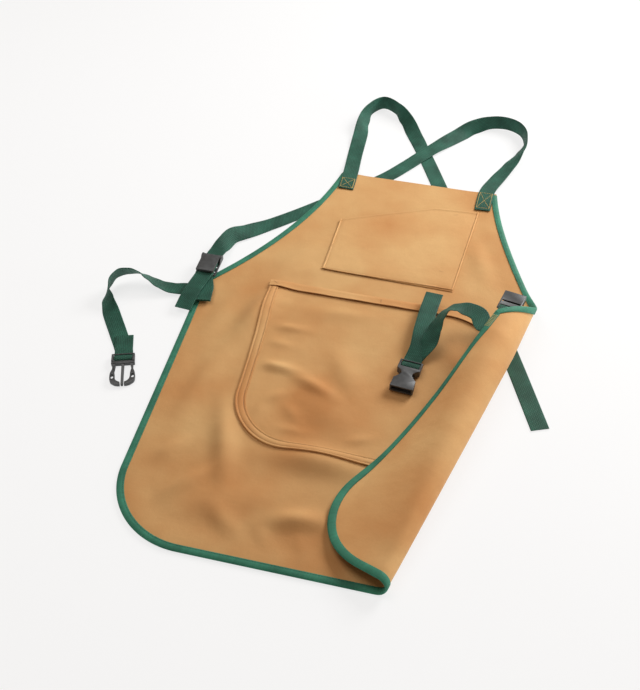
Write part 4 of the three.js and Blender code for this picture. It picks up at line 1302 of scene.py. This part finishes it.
class APRON_OT_skirt_pocket(bpy.types.Operator):
    """Lays the skirt pocket, its tape and the turned hem at its mouth."""

    bl_idname = "apron.skirt_pocket"
    bl_label = "Skirt pocket"

    def execute(self, context):
        sizes = context.scene.apron_sizes
        cloth = pocket_canvas(context.scene)
        piece, across, along = grid("skirt_pocket_cloth", *POCKET_GRID)
        y = grid_heights(POCKET, POCKET.top, 1 - along, POCKET_STRAIGHT)
        x = (2 * across - 1) * cut_half(POCKET, y)
        lay(piece, drape(x, y, skirt_pocket_front(x, y, sizes)), np.stack([x, y], -1))
        thicken(piece, sizes.pocket_cloth)
        finish_piece(piece, cloth, "canvas", "skirt_pocket")

        # Round the tape: in from the pocket's edge, and above the pocket's front
        wide = sizes.tape_width / MM
        section = np.array([
            (-0.9, -1.1),
            (-1.1, 0.9),
            (-0.6, 1.9),
            (0.6, 2.2),
            (1.8, 1.7),
            (2.5, 1.1),
            (3.2, 1.6),
            (wide * 0.5, 1.95),
            (wide - 3.2, 1.6),
            (wide - 2.5, 1.05),
            (wide - 1.8, 1.5),
            (wide - 0.4, 1.6),
            (wide + 0.1, 1.0),
            (wide, 0.1),
            (wide * 0.5, 0.05),
        ])
        even, walked = evenly(edge_line(POCKET), TAPE_STEP)
        even, walked = even[TAPE_KEPT], walked[TAPE_KEPT]
        x, y = beside(even, POCKET_MIDDLE, section)
        rings = drape(x, y, skirt_pocket_front(x, y, sizes) + section[:, 1])
        tape = swept("skirt_pocket_edge_tape", rings, walked)
        finish_piece(tape, cloth, "canvas", "skirt_pocket_tape")

        # Round the band: down from the pocket's mouth, and above the pocket's front
        tall = sizes.band_width / MM
        section = np.array([
            (-1.4, -0.4),
            (-1.5, 1.6),
            (-0.6, 2.5),
            (tall * 0.3, 2.5),
            (tall * 0.65, 2.7),
            (tall - 1.4, 3.4),
            (tall - 0.3, 3.5),
            (tall + 0.2, 2.9),
            (tall - 0.4, 2.4),
            (tall * 0.6, 1.6),
            (0.8, 1.2),
            (-0.3, -0.4),
        ])
        end = POCKET.top_half + BAND_PAST
        even, walked = evenly(((-end, POCKET.top), (end, POCKET.top)), TAPE_STEP)
        x = np.repeat(even[:, :1], len(section), 1)
        y = even[:, 1:] - section[:, 0]
        wave = BAND_WAVE * np.sin(x / BAND_WAVE_LENGTH) * smoothstep(section[:, 0], BAND_WAVE_FROM, tall)
        rings = drape(x, y, skirt_pocket_front(x, y, sizes) + section[:, 1] + wave)
        band = swept("skirt_pocket_band", rings, walked)
        finish_piece(band, cloth, "canvas")
        return {"FINISHED"}


class APRON_OT_straps(bpy.types.Operator):
    """Lays the shoulder straps, the waist straps and the hip tabs."""

    bl_idname = "apron.straps"
    bl_label = "Straps"

    def execute(self, context):
        sizes, colours = context.scene.apron_sizes, context.scene.apron_colours
        web = made_material("green_webbing", ribbed_webbing, colours.webbing[:], sizes.rib)
        strap("strap_shoulder_left", LEFT_SHOULDER, web, "shoulder_strap_left")
        rows = [*RIGHT_SHOULDER, *strap_rows(*CAM_LEFT, THROUGH_CAM), *RIGHT_SHOULDER_TAIL]
        strap("strap_shoulder_right", rows, web, "shoulder_strap_right")
        rows = [*LEFT_WAIST, *strap_rows(*MALE, BAR_TURN), *strap_rows(*MALE, MALE_TAIL)]
        strap("strap_waist_left", rows, web, "waist_strap_left")
        start = rows_on_panel(RIGHT_WAIST_START, OVER_BINDING + STRAP_SAG)
        bar = [(along - FEMALE_BAR_BACK, above) for along, above in BAR_TURN]
        rows = [*start, *RIGHT_WAIST, *strap_rows(*FEMALE, bar), *RIGHT_WAIST_TAIL]
        strap("strap_waist_right", rows, web, "waist_strap_right")
        tabs = (
            ("tab_hip_left", CAM_LEFT, LEFT_TAB, STRAP_SAG, "hip_tab_left"),
            ("tab_hip_right", CAM_RIGHT, RIGHT_TAB, TAB_SAG, "hip_tab_right"),
        )
        for name, buckle, points, sag, node in tabs:
            under = rows_on_panel(points, OVER_BINDING + PLY + sag)
            over = rows_on_panel(points, OVER_BINDING + 2 * PLY + sag)[::-1]
            strap(name, [*under, *strap_rows(*buckle, TAB_TURN), *over], web, node)
        return {"FINISHED"}


class APRON_OT_stitching(bpy.types.Operator):
    """Sews the binding, the pockets and the strap patches."""

    bl_idname = "apron.stitching"
    bl_label = "Stitching"

    def execute(self, context):
        sizes, colours = context.scene.apron_sizes, context.scene.apron_colours
        pitch, width = sizes.stitch_pitch / MM, sizes.stitch_width / MM
        gold = made_material("gold_thread", sewing_thread, colours.gold_thread[:])
        # The pocket thread's dark brown is partly painted shade of the stitch pits
        tan = made_material("tan_thread", sewing_thread, colours.tan_thread[:])
        green = made_material("green_thread", sewing_thread, colours.green_thread[:])

        on_top = sizes.canvas / MM + BINDING_ROOM + sizes.binding_ply / MM - BINDING_SEAM_SINK
        inset = sizes.binding_width / MM - BINDING_SEAM
        seams = []
        for line in (armhole_line(-1), armhole_line(1), edge_line(SKIRT)):
            even, _ = evenly(line, EDGE_SEAM_STEP)
            seams.append(cloth_seam(even + inwards(even, PANEL_MIDDLE) * inset, on_top))
        stitches("stitches_binding", seams, green, pitch, width, "binding")

        seams = [cloth_seam(BIB_SEAM, 0, bib_pocket_front, sizes)]
        stitches("stitches_bib_pocket", seams, tan, pitch, width, "canvas")

        even, _ = evenly(edge_line(POCKET), EDGE_SEAM_STEP)
        side = inwards(even, POCKET_MIDDLE)
        seams = []
        for inset in (TAPE_SEAM, sizes.tape_width / MM - TAPE_SEAM):
            line = (even + side * inset)[TAPE_KEPT]
            seams.append(cloth_seam(line, TAPE_SEAM_RISE, skirt_pocket_front, sizes))
        stitches("stitches_skirt_pocket", seams, tan, pitch, width, "canvas")

        seams = []
        for rows, first, last in PATCHES:
            corners = [(first, -PATCH_HALF), (last, -PATCH_HALF), (last, PATCH_HALF), (first, PATCH_HALF)]
            path = [*corners, corners[0], corners[2], corners[3], corners[1]]
            even, _ = evenly(path, PATCH_STEP)
            seams.append(on_strap(rows, even))
        upper, lower = HIP_ROW_ENDS
        for x in HIP_ROWS:
            places, facings = cloth_seam(((x, upper), (x - HIP_ROW_LEAN, lower)), HIP_ROW_HEIGHT)
            seams.append((places, -facings))
        stitches("stitches_strap_patches", seams, gold, PATCH_PITCH, width * PATCH_WIDER, "webbing")

        seams = [cloth_seam(tack, BAND_TACK_RISE, skirt_pocket_front, sizes) for tack in BAND_TACKS]
        seams += [cloth_seam(tack, 0, bib_pocket_front, sizes) for tack in BIB_TACKS]
        stitches("stitches_bar_tacks", seams, tan, TACK_PITCH, width * TACK_WIDER, "canvas")
        return {"FINISHED"}


def refine(piece, stand, fine):
    """Moves a buckle's points in its own frame, in millimetres from its webbing bar."""
    frame_of = buckle_frame(*stand)
    home = frame_of.inverted()
    spots = [home @ (vertex.co / MM - Vector(PATTERN_ORIGIN)) for vertex in piece.data.vertices]
    x, y, z = fine(*np.array(spots).T)
    for vertex, place in zip(piece.data.vertices, zip(x, y, z)):
        vertex.co = (frame_of @ Vector(place) + Vector(PATTERN_ORIGIN)) * MM
    piece.data.update()


def widened(x, table):
    """Distances from the middle on either side, by a table of what each becomes."""
    return np.sign(x) * np.interp(np.abs(x), *table)


def fine_cam_base(x, y, z):
    """Thin cheeks close to the lever, no higher than its handle."""
    return widened(x, CAM_CHEEKS), y, np.interp(z, *CAM_HEIGHTS)


def fine_cam_lever(x, y, z):
    """A pin that ends inside the thin cheeks."""
    return widened(x, CAM_PIN), y, z


def long_cam_lever(x, y, z):
    """The same lever with a handle that reaches past the bar."""
    return widened(x, CAM_PIN), np.interp(y, *CAM_HANDLE), z


def thin_frame(x, y, z):
    """Thinner and lower rails where a half holds its webbing."""
    share = smoothstep(y, *RAIL_ZONE)
    return x + (widened(x, RAILS) - x) * share, z * (1 - RAIL_LOWER * share)


def fine_male(x, y, z):
    """A short webbing frame, and long arms, thin down to their eyes, that close in at their tips."""
    thin = widened(x, MALE_ARMS)
    arms = thin + (widened(x, MALE_EYES) - thin) * smoothstep(-y, *EYES_ZONE)
    x, z = thin_frame(np.where(y < ARMS_FROM, arms, x), y, z)
    return x, np.interp(y, *MALE_RUN), z


def fine_female(x, y, z):
    """A short webbing frame, a narrow waist and a slim mouth."""
    waist = WAIST_NARROWER * np.exp(-(((y - WAIST_AT) / WAIST_SPREAD) ** 2))
    x, z = thin_frame(x * (1 - waist - MOUTH_NARROWER * smoothstep(-y, *MOUTH_ZONE)), y, z)
    return x, np.interp(y, *FEMALE_RUN), z


class APRON_OT_buckles(bpy.types.Operator):
    """Refines the moulded buckles and rounds their edges."""

    bl_idname = "apron.buckles"
    bl_label = "Buckles"

    def execute(self, context):
        colours = context.scene.apron_colours
        plastic = made_material("black_plastic", moulded_plastic, colours.plastic[:])
        pieces = (
            ("buckle_cam_base_left", "cam_buckle_base_left", "root", CAM_LEFT, fine_cam_base),
            ("buckle_cam_lever_left", "cam_buckle_lever_left", "left_lever", CAM_LEFT, long_cam_lever),
            ("buckle_cam_base_right", "cam_buckle_base_right", "root", CAM_RIGHT, fine_cam_base),
            ("buckle_cam_lever_right", "cam_buckle_lever_right", "right_lever", CAM_RIGHT, fine_cam_lever),
            ("buckle_side_male", "side_buckle_male", "root", MALE, fine_male),
            ("buckle_side_female", "side_buckle_female", "root", FEMALE, fine_female),
        )
        for name, node, body, stand, fine in pieces:
            piece = new_piece(name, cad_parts[node].data.copy())
            piece.data.materials.clear()
            edit_all(bpy.ops.mesh.remove_doubles, threshold=WELD)
            refine(piece, stand, fine)
            edit_all(bpy.ops.mesh.dissolve_limited, angle_limit=BUCKLE_FLAT)
            bpy.ops.object.modifier_add(type="BEVEL")
            bevel = piece.modifiers[-1]
            bevel.width = BUCKLE_EDGE
            bevel.segments = 2
            bevel.limit_method = "ANGLE"
            bevel.angle_limit = BUCKLE_ROUNDED
            bpy.ops.object.modifier_apply(modifier=bevel.name)
            bpy.ops.object.shade_smooth_by_angle(angle=BUCKLE_SHARP)
            finish_piece(piece, plastic, "buckle_plastic", node, body=body)
        return {"FINISHED"}


def raise_cove():
    """Turns the rim of the round floor up into a wall, in a quarter round."""
    bpy.ops.object.mode_set(mode="EDIT")
    bpy.ops.mesh.select_all(action="SELECT")
    reach, height = FLOOR_RADIUS, 0
    for step in range(1, COVE_STEPS + 1):
        angle = math.pi / 2 * step / COVE_STEPS
        next_reach = FLOOR_RADIUS + COVE_RADIUS * math.sin(angle)
        next_height = COVE_RADIUS * (1 - math.cos(angle))
        bpy.ops.mesh.region_to_loop()
        bpy.ops.mesh.extrude_edges_move()
        grow = next_reach / reach
        bpy.ops.transform.resize(value=(grow, grow, 1), center_override=(0, 0, 0))
        bpy.ops.transform.translate(value=(0, 0, next_height - height))
        reach, height = next_reach, next_height
    bpy.ops.object.mode_set(mode="OBJECT")


class APRON_OT_stage(bpy.types.Operator):
    """Sets the floor, the studio light and the camera."""

    bl_idname = "apron.stage"
    bl_label = "Studio"

    def execute(self, context):
        colours, studio = context.scene.apron_colours, context.scene.apron_studio
        deselect()
        bpy.ops.mesh.primitive_circle_add(
            vertices=COVE_SIDES, radius=FLOOR_RADIUS, fill_type="NGON", location=(0, 0, FLOOR_TOP)
        )
        floor = context.object
        floor.name = "studio_floor"
        bpy.ops.object.transform_apply(location=True)
        raise_cove()
        bpy.ops.object.shade_smooth()
        floor.data.materials.append(made_material("pale_floor", studio_floor, colours.floor[:]))

        world = bpy.data.worlds.new("studio_room")
        world.use_nodes = True
        room = world.node_tree.nodes["Background"]
        room.inputs["Color"].default_value = ROOM_TINT
        room.inputs["Strength"].default_value = studio.sky
        context.scene.world = world
        context.scene.view_settings.view_transform = "Standard"

        for name, place, aim, size, power in LIGHTS:
            turn = (Vector(aim) - Vector(place)).to_track_quat("-Z", "Y").to_euler()
            bpy.ops.object.light_add(type="AREA", location=place, rotation=turn)
            light = context.object
            light.name = name
            light.data.energy = getattr(studio, power)
            light.data.size = size

        azimuth, elevation = math.radians(VIEW_AZIMUTH), math.radians(VIEW_ELEVATION)
        back = Vector((
            math.sin(azimuth) * math.cos(elevation),
            -math.cos(azimuth) * math.cos(elevation),
            math.sin(elevation),
        ))
        turn = (-back).to_track_quat("-Z", "Y").to_euler()
        bpy.ops.object.camera_add(location=Vector(VIEW_POINT) + back * VIEW_DISTANCE, rotation=turn)
        camera = context.object
        camera.name = "studio_camera"
        camera.data.sensor_width = VIEW_SENSOR
        camera.data.lens = VIEW_LENS
        context.scene.camera = camera
        return {"FINISHED"}


class APRON_PT_panel(bpy.types.Panel):
    """The apron's sizes, colours and pieces in the sidebar."""

    bl_idname = "APRON_PT_panel"
    bl_label = "Canvas work apron"
    bl_space_type = "VIEW_3D"
    bl_region_type = "UI"
    bl_category = "Apron"

    def draw(self, context):
        layout = self.layout
        for group in (context.scene.apron_sizes, context.scene.apron_colours, context.scene.apron_studio):
            box = layout.box()
            for name in group.__annotations__:
                box.prop(group, name)
        for operator in OPERATORS:
            layout.operator(operator.bl_idname)


OPERATORS = (
    APRON_OT_stage,
    APRON_OT_canvas_panel,
    APRON_OT_bindings,
    APRON_OT_bib_pocket,
    APRON_OT_skirt_pocket,
    APRON_OT_straps,
    APRON_OT_stitching,
    APRON_OT_buckles,
)
GROUPS = (ApronSizes, ApronColours, ApronStudio)


def register():
    """Adds the settings, the operators and the panel to Blender."""
    for kind in (*GROUPS, *OPERATORS, APRON_PT_panel):
        bpy.utils.register_class(kind)
    bpy.types.Scene.apron_sizes = PointerProperty(type=ApronSizes)
    bpy.types.Scene.apron_colours = PointerProperty(type=ApronColours)
    bpy.types.Scene.apron_studio = PointerProperty(type=ApronStudio)


def unregister():
    """Takes the panel, the operators and the settings away again."""
    del bpy.types.Scene.apron_studio
    del bpy.types.Scene.apron_colours
    del bpy.types.Scene.apron_sizes
    for kind in (APRON_PT_panel, *reversed(OPERATORS), *reversed(GROUPS)):
        bpy.utils.unregister_class(kind)


def main():
    """Makes every piece through its operator."""
    register()
    bpy.ops.apron.stage()
    bpy.ops.apron.canvas_panel()
    bpy.ops.apron.bindings()
    bpy.ops.apron.bib_pocket()
    bpy.ops.apron.skirt_pocket()
    bpy.ops.apron.straps()
    bpy.ops.apron.stitching()
    bpy.ops.apron.buckles()


if __name__ == "__main__":
    main()
